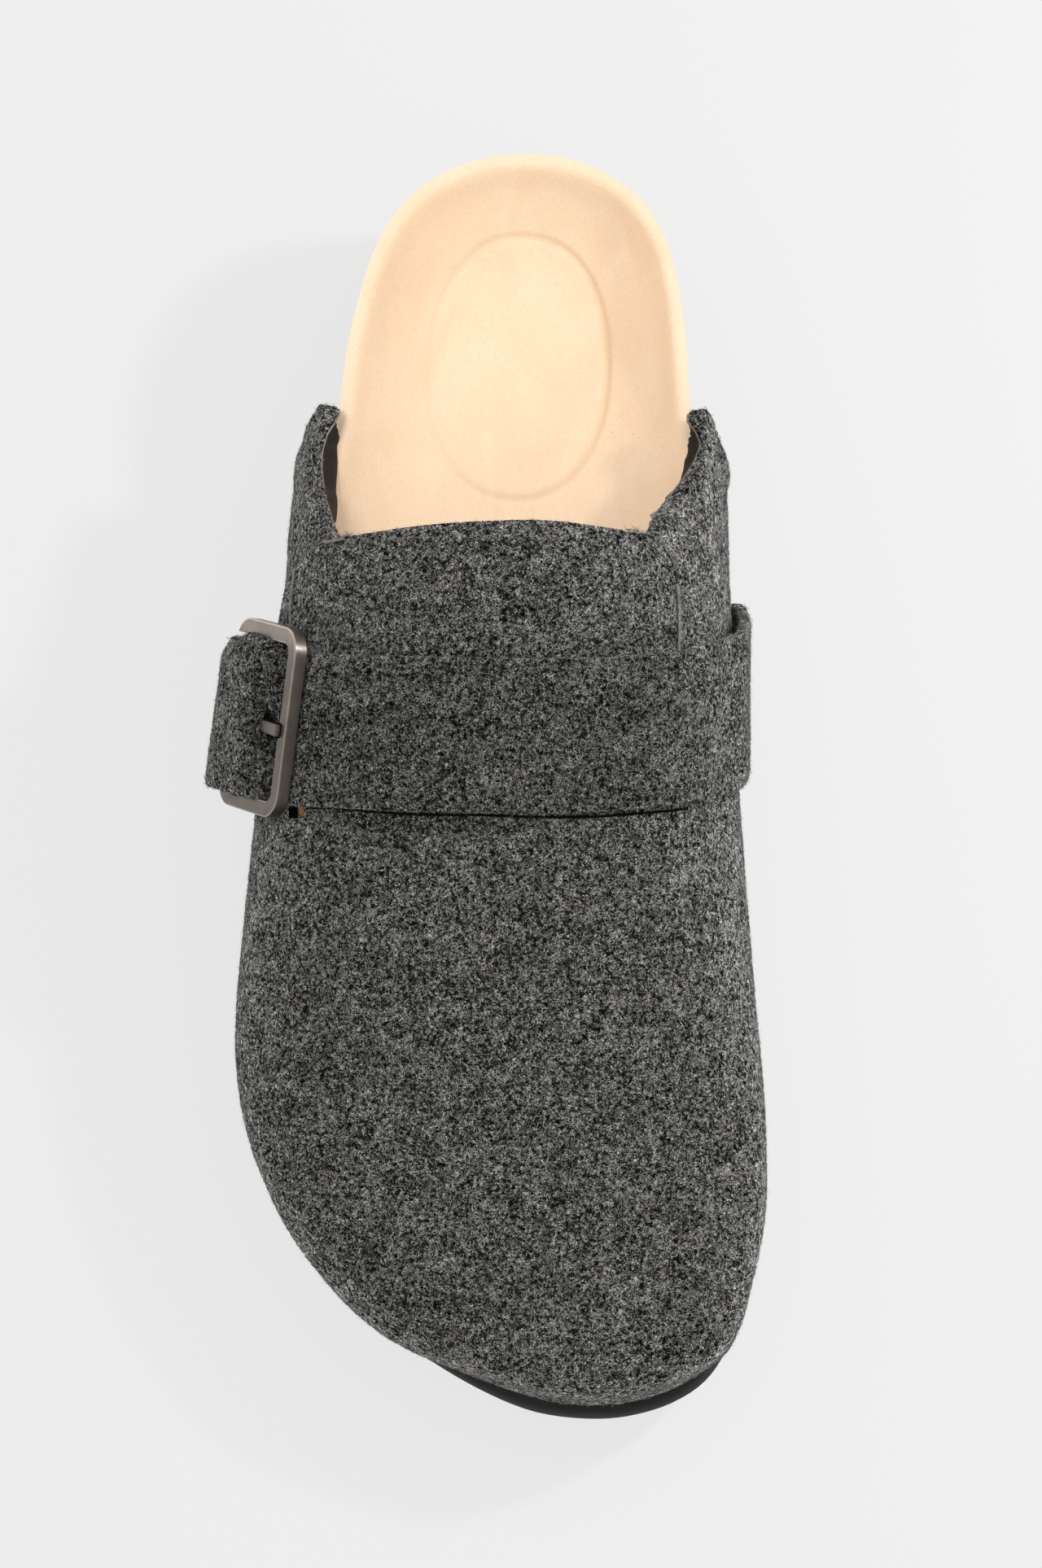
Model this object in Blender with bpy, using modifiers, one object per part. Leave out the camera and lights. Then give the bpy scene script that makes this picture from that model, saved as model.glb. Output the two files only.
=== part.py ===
"""Felt buckle clog for the right foot: sole, footbed, suede insole, hollow felt upper and a buckled strap.

+Y is the heel, -Y the toe, +X the inner (big toe) side, -X the outer side with the buckle, z = 0 the floor.
Sizes and tables are in millimetres; UNIT turns them into metres where a mesh is made.
"""

import math
from collections import namedtuple

import bmesh
import bpy
import numpy as np
from mathutils import Matrix, Vector
from mathutils.bvhtree import BVHTree

UNIT = 0.001
GAP = 0.3

# Plan of the sole's top edge, a row per station
HEEL_TIP = (0.8, 135.6)
TOE_TIP = (16.0, -132.2)
OutlineRow = namedtuple("OutlineRow", "y lateral medial")
OUTLINE = [
    OutlineRow(131.5, -16.4, 17.9),
    OutlineRow(121.0, -27.8, 28.8),
    OutlineRow(104.0, -34.6, 34.0),
    OutlineRow(86.0, -38.3, 36.2),
    OutlineRow(66.0, -43.2, 39.8),
    OutlineRow(40.0, -48.4, 42.4),
    OutlineRow(5.0, -53.5, 44.3),
    OutlineRow(-25.0, -56.5, 46.2),
    OutlineRow(-50.0, -58.3, 48.2),
    OutlineRow(-70.0, -56.3, 49.5),
    OutlineRow(-90.0, -48.8, 49.2),
    OutlineRow(-108.0, -35.7, 45.7),
    OutlineRow(-122.0, -17.3, 40.2),
]

# Side view, a row per station: sole thickness, footbed over it and its rims, the upper's inner crown height,
# section fullness, place of the spine and how far the upper bulges past the sole edge on each side
ProfileRow = namedtuple(
    "ProfileRow", "y sole seat rim_lateral rim_medial crown fullness spine bulge_lateral bulge_medial"
)
PROFILE = [
    ProfileRow(136.0, 14.0, 13.0, 17.0, 17.0, 68.0, 2.4, 0.5, 6.2, 4.8),
    ProfileRow(97.0, 14.0, 12.0, 17.0, 17.0, 68.0, 2.4, 0.0, 6.2, 4.8),
    ProfileRow(80.0, 13.8, 13.0, 13.5, 14.0, 68.0, 2.4, -0.5, 5.8, 4.6),
    ProfileRow(62.0, 13.6, 14.0, 11.5, 13.0, 66.5, 2.35, -0.8, 4.5, 3.4),
    ProfileRow(50.0, 13.3, 14.3, 10.8, 12.5, 72.5, 2.15, -1.0, 2.8, 2.5),
    ProfileRow(40.0, 13.0, 14.3, 10.3, 12.0, 80.4, 2.0, -1.0, 2.0, 2.1),
    ProfileRow(10.0, 11.6, 13.0, 10.0, 12.0, 75.6, 1.96, -0.5, 1.4, 1.4),
    ProfileRow(-25.0, 10.2, 10.5, 7.5, 8.0, 63.0, 2.05, 1.0, 1.2, 1.2),
    ProfileRow(-55.0, 9.5, 9.0, 6.5, 6.5, 52.6, 2.2, 4.0, 1.2, 1.2),
    ProfileRow(-86.0, 9.0, 7.5, 5.0, 5.0, 43.6, 2.3, 8.0, 1.2, 1.2),
    ProfileRow(-134.0, 8.4, 6.5, 4.0, 4.0, 36.5, 2.3, 13.0, 1.2, 1.2),
]
TOE_SPRING = 9.0
SPRING_START_Y = -58.0
HEEL_LIFT = 2.0
HEEL_LIFT_START_Y = 120.0
HEEL_POLE_Y = 97.0
TOE_POLE_Y = -86.0
SOLE_STATIONS = [97.0, 80.0, 60.0, 40.0, 15.0, -10.0, -35.0, -58.0, -72.0, -86.0]
SOLE_FAN = 8
SOLE_TAPER = 2.2
SOLE_EDGE_ROUND = 1.6
TREAD_ZONES = ((-84.0, -20.0), (64.0, 120.0))
TREAD_PITCH = 12.5
TREAD_DEPTH = 1.6
TREAD_WIDTH = 2.6
TREAD_MARGIN = 9.0

# Footbed and insole
FOOTBED_INSET_HEEL = 0.4
INSOLE_THICKNESS = 1.2
FOOTBED_STATIONS = [97.0, 92.0, 89.0, 85.5, 82.0, 74.0, 66.0, 53.0, 40.0, 25.0, 10.0]
FOOTBED_STATIONS += [-8.0, -25.0, -42.0, -58.0, -72.0, -86.0]
RIM_START = 0.95
RIM_POWER = 3.0
RIM_SPREAD = 1.4

# Upper
WALL = 2.8
FLAP_LIFT = 1.9
FLAP_Y = 40.0
FLAP_DIP = 1.0
FLAP_BOW = {"lateral": 5.0, "medial": 1.2}
BOW_START_Y = 26.0
UPPER_INSET = 1.2
UPPER_INSET_TOE = 2.9
TOE_LEDGE_Y = (-113.0, -130.0)
EQUATOR = 13.0
TUCK_ANGLE = math.radians(55.0)
LAP = math.radians(9.0)
LAP_STEP = math.radians(0.9)
# The edge that is the quarters' top line behind the tongue and the slit beside the flap before it
EdgeRow = namedtuple("EdgeRow", "y lateral medial")
EDGE = [
    EdgeRow(77.6, 0.94, 0.928),
    EdgeRow(76.6, 0.926, 0.912),
    EdgeRow(74.0, 0.912, 0.895),
    EdgeRow(68.0, 0.88, 0.867),
    EdgeRow(58.0, 0.835, 0.81),
    EdgeRow(48.0, 0.785, 0.68),
    EdgeRow(40.0, 0.76, 0.595),
    EdgeRow(38.6, 0.85, 0.64),
    EdgeRow(36.5, 0.915, 0.675),
    EdgeRow(32.0, 0.945, 0.70),
    EdgeRow(10.0, 0.925, 0.72),
    EdgeRow(-13.0, 0.86, 0.73),
    EdgeRow(-45.0, 0.80, 0.78),
    EdgeRow(-134.0, 0.80, 0.80),
]
QUARTER_STATIONS = [77.6, 76.6, 74.0, 68.0, 58.0, 48.0]
MEDIAL_SETBACK = 1.2
SETBACK_START_Y = 48.0
SETBACK_RUN = 28.0
REAR_RAKE = 4.0
RAKE_START_Y = 66.0
RAKE_RUN = 12.0
FLAP_STATIONS = [40.0, 38.6, 36.5, 32.0, 23.0, 13.0, 4.0, -5.0, -13.0, -20.0]
VAMP_STATIONS = [-30.0, -41.0, -52.0, -63.0, -74.0, -86.0]
TOE_FAN = 8

# Strap and buckle, in the strap's own tilted frame: x across the foot, w along the foot, q up
STRAP_TILT_LATERAL = math.radians(20.0)
STRAP_TILT_MEDIAL = math.radians(25.0)
STRAP_TILT_REACH = 36.0
STRAP_CENTRE_Y = -2.2
STRAP_WIDTH = 31.0
STRAP_THICKNESS = 2.4
STRAP_STANDOFF = 0.9
STANDOFF_ANGLE = 25.0
STANDOFF_SPREAD = 45.0
STRAP_SKEW = 0.13
SKEW_START = 5.0
SKEW_RUN = 35.0
TURN_LEAD = 4.0
TAIL_TAPER = 1.5
TAPER_RUN = 16.0
SECTION_CENTRE = (-4.0, -42.0)
SECTION_REACH = 60.0
RAY_START = 120.0
STRAP_ARC = (-4.0, 134.0, 8.0)
STRAP_STEPS = 58
STRAP_SHARES = (-1.0, -0.5, 0.0, 0.5, 1.0)
STRAP_END_ROUND = 9.0
STRIP_FOOT_Y = 25.0
STRAP_END_WIDTH = 0.35
FRAME_TOP = (-47.55, -15.52)
FRAME_SHIFT = 0.8
FRAME_LENGTH = 25.0
FRAME_SLOPE = math.radians(62.0)
FRAME_WIDTH = 39.4
FRAME_BAR = 3.4
FRAME_THICKNESS = 2.9
FRAME_CORNER = 5.5
FRAME_INNER_CORNER = 2.6
FRAME_CHAMFER = 0.6
HINGE_RADIUS = 0.9
HINGE_RECESS = 1.1
HINGE_CLEAR = 0.4
HINGE_GAP_SHIFT = 1.2
HINGE_GAP_SIZE = (8.0, FRAME_WIDTH - 2 * FRAME_BAR + 0.2, 8.0)
TAB_WIDTH = 25.0
TAB_THICKNESS = 1.1
TAB_SLOT_SHIFT = 1.0
TAB_SLOT_SIZE = (8.0, 5.2, 10.0)
PRONG_WIDTH = 3.3
PRONG_THICKNESS = 1.7
PRONG_ROUND = 0.4
PRONG_COLLAR = 0.6
PRONG_CLEAR = 0.35
PRONG_BASE = (23.6, -0.6)
PRONG_TIP = (0.6, 1.7)
PRONG_ACROSS = 1.4
NOTCH_ALONG = 5.0
HOLE_ALONG = (4.5, 14.0)
# The strap's line past the buckle: place along the frame, share of the way from under the bar to its top
PassRow = namedtuple("PassRow", "along share")
STRAP_PASS = [
    PassRow(-0.5, -0.03),
    PassRow(2.8, -0.015),
    PassRow(5.4, 0.12),
    PassRow(8.6, 0.56),
    PassRow(12.0, 0.95),
    PassRow(16.0, 1.02),
    PassRow(20.5, 1.0),
    PassRow(25.5, 0.97),
    PassRow(30.5, 0.67),
]
# The strap's two hanging ends, as steps (x, q) from the last place of its line
HangRow = namedtuple("HangRow", "x q")
STRAP_TAIL = [HangRow(0.1, -5.0), HangRow(0.9, -11.0), HangRow(2.0, -17.0)]
STRAP_FOOT = [HangRow(-1.3, -48.0), HangRow(-0.2, -26.0), HangRow(0.2, -12.0)]
TAB_FOOT = [HangRow(0.4, -24.0), HangRow(0.1, -10.0)]
TAB_ANGLES = (198.0, 192.0)
TAB_RUN_OUT = 1.6


def fresh_scene():
    for item in list(bpy.data.objects):
        bpy.data.objects.remove(item, do_unlink=True)


def material(name, colour, roughness, metallic=0.0):
    made = bpy.data.materials.new(name)
    made.use_nodes = True
    shader = made.node_tree.nodes["Principled BSDF"]
    shader.inputs["Base Color"].default_value = (*colour, 1.0)
    shader.inputs["Roughness"].default_value = roughness
    shader.inputs["Metallic"].default_value = metallic
    return made


def collection(name, hidden=False):
    made = bpy.data.collections.new(name)
    bpy.context.scene.collection.children.link(made)
    made.hide_render = hidden
    return made


def smooth_step(value):
    value = min(max(value, 0.0), 1.0)
    return value * value * (3.0 - 2.0 * value)


def hermite(y, knots, values):
    """Cubic through the table's values with central slopes, in rising order of the knots."""
    y = min(max(y, knots[0]), knots[-1])
    index = min(max(int(np.searchsorted(knots, y)) - 1, 0), len(knots) - 2)
    slopes = np.gradient(values, knots)
    span = knots[index + 1] - knots[index]
    t = (y - knots[index]) / span
    start = (2 * t**3 - 3 * t**2 + 1) * values[index] + (t**3 - 2 * t**2 + t) * span * slopes[index]
    finish = (-2 * t**3 + 3 * t**2) * values[index + 1] + (t**3 - t**2) * span * slopes[index + 1]
    return float(start + finish)


def column(rows, name):
    ordered = sorted(rows, key=lambda row: row.y)
    return np.array([row.y for row in ordered]), np.array([getattr(row, name) for row in ordered])


PROFILE_COLUMNS = {name: column(PROFILE, name) for name in ProfileRow._fields[1:]}
EDGE_COLUMNS = {name: column(EDGE, name) for name in EdgeRow._fields[1:]}


def profile(name, y):
    return hermite(y, *PROFILE_COLUMNS[name])


def sole_bottom(y):
    toe = max(SPRING_START_Y - y, 0.0) / (SPRING_START_Y - TOE_TIP[1])
    heel = max(y - HEEL_LIFT_START_Y, 0.0) / (HEEL_TIP[1] - HEEL_LIFT_START_Y)
    return TOE_SPRING * toe**2 + HEEL_LIFT * heel**2


def sole_top(y):
    toe = max(SPRING_START_Y - y, 0.0) / (SPRING_START_Y - TOE_TIP[1])
    return TOE_SPRING * toe**2 + profile("sole", y)


def closed_spline(points, per_span=40):
    """Periodic cubic spline by chord length: places and outward normals, counter-clockwise."""
    points = np.array(points, float)
    count = len(points)
    steps = np.linalg.norm(np.roll(points, -1, 0) - points, axis=1)
    system = np.zeros((count, count))
    target = np.zeros((count, 2))
    for i in range(count):
        before, here, after = (i - 1) % count, i, (i + 1) % count
        system[i, before] = steps[before]
        system[i, here] = 2.0 * (steps[before] + steps[here])
        system[i, after] = steps[here]
        rise = (points[after] - points[here]) / steps[here]
        target[i] = 6.0 * (rise - (points[here] - points[before]) / steps[before])
    bend = np.linalg.solve(system, target)
    places, tangents = [], []
    for i in range(count):
        after, step = (i + 1) % count, steps[i]
        for t in np.linspace(0.0, step, per_span, endpoint=False):
            left = step - t
            place = (bend[i] * left**3 + bend[after] * t**3) / (6 * step)
            place = place + (points[i] / step - bend[i] * step / 6) * left
            place = place + (points[after] / step - bend[after] * step / 6) * t
            slope = (bend[after] * t**2 - bend[i] * left**2) / (2 * step)
            slope = slope + (points[after] - points[i]) / step - (bend[after] - bend[i]) * step / 6
            places.append(place)
            tangents.append(slope / np.linalg.norm(slope))
    tangents = np.array(tangents)
    return np.array(places), np.column_stack([tangents[:, 1], -tangents[:, 0]])


def outline_sides():
    """Both halves of the sole outline, each from the heel tip to the toe tip."""
    lateral = [(row.lateral, row.y) for row in OUTLINE]
    medial = [(row.medial, row.y) for row in reversed(OUTLINE)]
    places, normals = closed_spline([HEEL_TIP, *lateral, TOE_TIP, *medial])
    toe = 40 * (len(OUTLINE) + 1)
    closing = np.vstack([places[toe:], places[:1]]), np.vstack([normals[toe:], normals[:1]])
    return {
        "lateral": (places[: toe + 1], normals[: toe + 1]),
        "medial": (closing[0][::-1], closing[1][::-1]),
    }


SIDES = outline_sides()
Spoke = namedtuple("Spoke", "side edge out spine")


def station_spoke(side, y):
    """The spoke across the foot at one station, from the outline to the spine."""
    places, normals = SIDES[side]
    inner = slice(20, -20)
    falling = places[inner, 1][::-1]
    edge = np.array([np.interp(y, falling, places[inner, 0][::-1]), y])
    out = np.array([np.interp(y, falling, normals[inner, k][::-1]) for k in (0, 1)])
    return Spoke(side, edge, out / np.linalg.norm(out), np.array([profile("spine", y), y]))


def fan_spokes(side, pole_y, count, toe):
    """Spokes from the pole out to the outline between the pole's station and the tip, the tip excluded."""
    places, normals = SIDES[side]
    keep = places[:, 1] < pole_y if toe else places[:, 1] > pole_y
    places, normals = places[keep], normals[keep]
    if not toe:
        places, normals = places[::-1], normals[::-1]
    walked = np.concatenate([[0.0], np.cumsum(np.linalg.norm(np.diff(places, axis=0), axis=1))])
    pole = np.array([profile("spine", pole_y), pole_y])
    spokes = []
    for i in range(1, count):
        at = walked[-1] * i / count
        edge = np.array([np.interp(at, walked, places[:, k]) for k in (0, 1)])
        out = np.array([np.interp(at, walked, normals[:, k]) for k in (0, 1)])
        spokes.append(Spoke(side, edge, out / np.linalg.norm(out), pole))
    return spokes


def tip_spoke(toe):
    places, normals = SIDES["lateral"]
    index, pole_y = (-1, TOE_POLE_Y) if toe else (0, HEEL_POLE_Y)
    return Spoke("lateral", places[index], normals[index], np.array([profile("spine", pole_y), pole_y]))


def sole_spokes(stations, fan):
    """A closed ring of spokes round the whole sole, counter-clockwise from the heel tip."""
    ring = [tip_spoke(False)]
    ring += fan_spokes("lateral", HEEL_POLE_Y, fan, False)[::-1]
    ring += [station_spoke("lateral", y) for y in stations]
    ring += fan_spokes("lateral", TOE_POLE_Y, fan, True)
    ring += [tip_spoke(True)]
    ring += fan_spokes("medial", TOE_POLE_Y, fan, True)[::-1]
    ring += [station_spoke("medial", y) for y in reversed(stations)]
    ring += fan_spokes("medial", HEEL_POLE_Y, fan, False)
    return ring


def weld(grid_faces, points):
    """Faces over the points with equal places made one, so poles and the spine close."""
    keys, kept, index = {}, [], []
    for place in points:
        key = tuple(np.round(place, 4))
        if key not in keys:
            keys[key] = len(kept)
            kept.append(len(index))
        index.append(keys[key])
    faces = []
    for face in grid_faces:
        corners = []
        for corner in (index[i] for i in face):
            if corner not in corners:
                corners.append(corner)
        if len(corners) > 2:
            faces.append(corners)
    return faces, kept


def vertex_normals(points, faces):
    normals = np.zeros_like(points)
    for face in faces:
        corners = points[face]
        area = np.zeros(3)
        for i in range(1, len(face) - 1):
            area += np.cross(corners[i] - corners[0], corners[i + 1] - corners[0])
        normals[face] += area
    return normals / np.maximum(np.linalg.norm(normals, axis=1, keepdims=True), 1e-9)


def solid_between(name, faces, outer, inner, skin, group):
    """A closed solid between two sheets of the same faces, joined along their free edges."""
    count = len(outer)
    used = {}
    for face in faces:
        for start, end in zip(face, face[1:] + face[:1]):
            used[(start, end)] = True
    rims = [(start, end) for start, end in used if (end, start) not in used]
    all_faces = [list(face) for face in faces]
    all_faces += [[i + count for i in reversed(face)] for face in faces]
    all_faces += [[end, start, start + count, end + count] for start, end in rims]
    mesh = bpy.data.meshes.new(name)
    mesh.from_pydata((np.vstack([outer, inner]) * UNIT).tolist(), [], all_faces)
    made = bpy.data.objects.new(name, mesh)
    mesh.materials.append(skin)
    group.objects.link(made)
    return made


def ring_faces(columns, rows):
    """Quads of a closed ring of columns, each with the same number of rows."""
    faces = []
    for i in range(columns):
        after = (i + 1) % columns
        for j in range(rows - 1):
            faces.append([i * rows + j, after * rows + j, after * rows + j + 1, i * rows + j + 1])
    return faces


def halved(faces):
    """Each face cut from its first corner, so that two sheets of the same faces fold alike."""
    return [[face[0], face[i], face[i + 1]] for face in faces for i in range(1, len(face) - 1)]


def plan_point(spoke, outset, fraction):
    edge = spoke.edge + spoke.out * outset
    return spoke.spine + (edge - spoke.spine) * fraction


def build_tread(sole, cutters):
    """Cross channels cut into the tread under the forefoot and the heel."""
    work = bmesh.new()
    for first, last in TREAD_ZONES:
        for y in np.arange(first, last, TREAD_PITCH):
            left = station_spoke("lateral", y).edge[0] + TREAD_MARGIN
            right = station_spoke("medial", y).edge[0] - TREAD_MARGIN
            centre = Matrix.Translation(((left + right) / 2, y, sole_bottom(y)))
            size = Matrix.Diagonal((right - left, TREAD_WIDTH, 2 * TREAD_DEPTH, 1.0))
            bmesh.ops.create_cube(work, size=1.0, matrix=centre @ size)
    bmesh.ops.scale(work, vec=(UNIT, UNIT, UNIT), verts=work.verts)
    mesh = bpy.data.meshes.new("tread_channels")
    work.to_mesh(mesh)
    work.free()
    channels = bpy.data.objects.new("tread_channels", mesh)
    channels.hide_render = True
    channels.display_type = "WIRE"
    cutters.objects.link(channels)
    boolean(sole, channels, "DIFFERENCE")


def build_outsole(skin, group):
    ring = sole_spokes(SOLE_STATIONS, SOLE_FAN)
    fractions = (1.0, 0.5, 0.0)
    top, bottom = [], []
    for spoke in ring:
        for fraction in fractions:
            above = plan_point(spoke, 0.0, fraction)
            below = plan_point(spoke, -SOLE_TAPER, fraction)
            top.append((*above, sole_top(above[1])))
            bottom.append((*below, sole_bottom(below[1])))
    faces, kept = weld(ring_faces(len(ring), len(fractions)), top)
    top, bottom = np.array(top)[kept], np.array(bottom)[kept]
    sole = solid_between("outsole", faces, top, bottom, skin, group)
    edge = sole.modifiers.new("bottom edge", "BEVEL")
    edge.width = SOLE_EDGE_ROUND * UNIT
    edge.segments = 1
    edge.limit_method = "ANGLE"
    edge.angle_limit = math.radians(60.0)
    return sole


def rim_shape(fraction):
    return min(fraction / RIM_START, 1.0) ** RIM_POWER


def footbed_inset(y):
    """How far the footbed's foot lies inside the sole edge: flush at the heel, inside the wall before it."""
    covered = UPPER_INSET + WALL + 0.7
    toe = (UPPER_INSET_TOE - UPPER_INSET) * toe_ledge(y)
    return FOOTBED_INSET_HEEL + (covered - FOOTBED_INSET_HEEL) * smooth_step((92.0 - y) / 10.0) + toe


def rim_inset(y):
    """The same at the footbed's rim, which spreads behind the wall where the quarters stand off."""
    spread = RIM_SPREAD * smooth_step((y - 10.0) / 40.0)
    covered = UPPER_INSET + WALL + 0.7 - spread
    toe = (UPPER_INSET_TOE - UPPER_INSET) * toe_ledge(y)
    return FOOTBED_INSET_HEEL + (covered - FOOTBED_INSET_HEEL) * smooth_step((94.0 - y) / 29.0) + toe


def toe_ledge(y):
    return smooth_step((TOE_LEDGE_Y[0] - y) / (TOE_LEDGE_Y[0] - TOE_LEDGE_Y[1]))


def footbed_grid():
    """The footbed's faces, the contoured places of its top and the places of its foot under them."""
    ring = sole_spokes(FOOTBED_STATIONS, SOLE_FAN)
    fractions = (1.0, 0.975, RIM_START, 0.88, 0.76, 0.55, 0.28, 0.0)
    top, foot = [], []
    for spoke in ring:
        for fraction in fractions:
            place = plan_point(spoke, -rim_inset(spoke.edge[1]), fraction)
            rim = profile("rim_" + spoke.side, place[1])
            seat = sole_top(place[1]) + profile("seat", place[1])
            top.append((*place, seat + rim * rim_shape(fraction)))
            place = plan_point(spoke, -footbed_inset(spoke.edge[1]), fraction)
            foot.append((*place, sole_top(place[1]) + GAP))
    faces, kept = weld(ring_faces(len(ring), len(fractions)), top)
    return halved(faces), np.array(top)[kept], np.array(foot)[kept]


def build_footbed(cork, suede, group):
    faces, top, foot = footbed_grid()
    solid_between("footbed", faces, top, foot, cork, group)
    normals = vertex_normals(top, faces)
    lower = top + normals * GAP
    solid_between("insole", faces, lower + normals * INSOLE_THICKNESS, lower, suede, group)


def upper_inset(y):
    return UPPER_INSET + (UPPER_INSET_TOE - UPPER_INSET) * toe_ledge(y)


def section_angle(spoke):
    """Angle on the section where the quarters end or the flap begins."""
    y = spoke.edge[1]
    if spoke.side == "medial":
        y += MEDIAL_SETBACK * smooth_step((y - SETBACK_START_Y) / SETBACK_RUN)
    fraction = hermite(y, *EDGE_COLUMNS[spoke.side])
    return math.acos(fraction ** (profile("fullness", spoke.edge[1]) / 2.0))


def upper_rows(spoke):
    """Section angles from the sole edge to the spine; the fifth is the slit or top line, then the flap."""
    slit = section_angle(spoke)
    lap = slit + LAP
    rows = [-TUCK_ANGLE, -0.5 * TUCK_ANGLE, 0.0, 0.5 * slit, slit, slit + LAP_STEP, lap, lap + LAP_STEP]
    rest = math.pi / 2 - rows[-1]
    return rows + [rows[-1] + rest * share for share in (0.25, 0.5, 0.75, 1.0)]


def last_point(spoke, angle):
    """Point of the upper's inner surface on a spoke: a tucked foot, then a superellipse up to the crown."""
    y = spoke.edge[1]
    ledge = toe_ledge(y)
    foot_outset = -upper_inset(y) - WALL
    bulge = profile("bulge_" + spoke.side, y)
    widest_outset = (1.0 - ledge) * bulge + ledge * (-upper_inset(y)) - WALL
    widest = spoke.edge + spoke.out * widest_outset
    if angle < 0.0:
        drop = -angle / TUCK_ANGLE
        share = (1.0 - math.cos(-angle)) / (1.0 - math.cos(TUCK_ANGLE))
        place = widest + spoke.out * (foot_outset - widest_outset) * share
        height = sole_top(spoke.edge[1]) + GAP + EQUATOR * (1.0 - math.sin(-angle) / math.sin(TUCK_ANGLE))
        return np.array([*place, height if drop < 1.0 else sole_top(place[1]) + GAP])
    power = 2.0 / profile("fullness", y)
    reach = max(math.cos(angle), 0.0) ** power
    place = spoke.spine + (widest - spoke.spine) * reach
    equator = sole_top(spoke.edge[1]) + GAP + EQUATOR
    return np.array([*place, equator + (profile("crown", place[1]) - equator) * math.sin(angle) ** power])


def flap_lift(y):
    return FLAP_LIFT * smooth_step((y + 18.0) / 20.0)


def flap_bow(spoke, place):
    """How far the flap's rear edge lies behind its station: more at its corners than at its middle."""
    if spoke.edge[1] > FLAP_Y + 0.01:
        return 0.0
    share = (place[0] - spoke.spine[0]) / (spoke.edge[0] - spoke.spine[0])
    near = smooth_step((spoke.edge[1] - BOW_START_Y) / (FLAP_Y - BOW_START_Y))
    return (FLAP_BOW[spoke.side] * share**2 - FLAP_DIP) * near


def raked(spoke, angle, slit):
    """The spoke nearer the toe that a quarter's lower rows take, so that its rear end leans back."""
    y = spoke.edge[1]
    below = min(max(1.0 - angle / slit, 0.0), 1.0)
    lean = REAR_RAKE * below * smooth_step((y - RAKE_START_Y) / RAKE_RUN)
    return station_spoke(spoke.side, y - lean) if lean > 0.0 else spoke


def upper_spokes():
    stations = QUARTER_STATIONS + FLAP_STATIONS + VAMP_STATIONS
    spokes = [station_spoke("lateral", y) for y in stations]
    spokes += fan_spokes("lateral", TOE_POLE_Y, TOE_FAN, True)
    spokes += [tip_spoke(True)]
    spokes += fan_spokes("medial", TOE_POLE_Y, TOE_FAN, True)[::-1]
    for y in reversed(stations):
        setback = MEDIAL_SETBACK * smooth_step((y - SETBACK_START_Y) / SETBACK_RUN)
        spokes.append(station_spoke("medial", y - setback))
    return spokes


def build_upper(felt, group):
    """One hollow wall: quarters below the edge line, vamp and flap above it, the flap over the quarters."""
    spokes = upper_spokes()
    rows = 12
    slit_row = 4
    base, over, under = [], [], []
    for spoke in spokes:
        lift = flap_lift(spoke.edge[1])
        angles = upper_rows(spoke)
        for j, angle in enumerate(angles):
            place = last_point(raked(spoke, angle, angles[slit_row]), angle)
            place[1] += flap_bow(spoke, place) if j >= slit_row else 0.0
            base.append(place)
            over.append(WALL + (lift if j > slit_row else 0.0))
            under.append(lift if j > slit_row + 2 else 0.0)
    grid = []
    for i in range(len(spokes) - 1):
        behind = max(spokes[i].edge[1], spokes[i + 1].edge[1]) > FLAP_Y + 0.01
        for j in range(slit_row if behind else rows - 1):
            grid.append([i * rows + j, (i + 1) * rows + j, (i + 1) * rows + j + 1, i * rows + j + 1])
    used = sorted({i for face in grid for i in face})
    place = {old: new for new, old in enumerate(used)}
    grid = [[place[i] for i in face] for face in grid]
    base = np.array(base)[used]
    faces, kept = weld(grid, base)
    normals = vertex_normals(base[kept], faces)
    feet = np.array([used[i] % rows == 0 for i in kept])
    normals[feet, 2] = 0.0
    normals /= np.linalg.norm(normals, axis=1, keepdims=True)
    over, under = np.array(over)[used][kept], np.array(under)[used][kept]
    outer = base[kept] + normals * over[:, None]
    inner = base[kept] + normals * under[:, None]
    outer[feet, 2] = [sole_top(y) + GAP for y in outer[feet, 1]]
    return solid_between("upper", faces, outer, inner, felt, group)


def strap_axes(x):
    """Matrix from the strap's frame (x, w, q) to the clog's, in millimetres; the inner side leans more."""
    crest = profile("crown", STRAP_CENTRE_Y) + WALL + FLAP_LIFT
    share = smooth_step(0.5 + 0.5 * x / STRAP_TILT_REACH)
    tilt = STRAP_TILT_LATERAL + (STRAP_TILT_MEDIAL - STRAP_TILT_LATERAL) * share
    return Matrix.Translation((0.0, STRAP_CENTRE_Y, crest)) @ Matrix.Rotation(tilt, 4, "X")


def strap_skew(x):
    """How far the strap's cross lines turn towards the buckle's, at a place across the foot."""
    return STRAP_SKEW * smooth_step((-x - SKEW_START) / SKEW_RUN)


def strap_places(profile_points, widths, taper=0.0):
    """Places of a strip in the clog's frame: the profile's (x, q) points swept over w.

    On the buckle side the strip is skewed, turns with the buckle, and its heel edge tapers past the top bar.
    """
    places = []
    for (x, q), half in zip(profile_points, widths):
        past = FRAME_TOP[0] - x
        turned = STRAP_SKEW * max(past + TURN_LEAD, 0.0)
        narrowed = taper * smooth_step(past / TAPER_RUN)
        for share in STRAP_SHARES:
            w = share * half - max(share, 0.0) * narrowed
            places.append(strap_axes(x) @ Vector((x + w * strap_skew(x), w + turned, q)))
    return places


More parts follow.
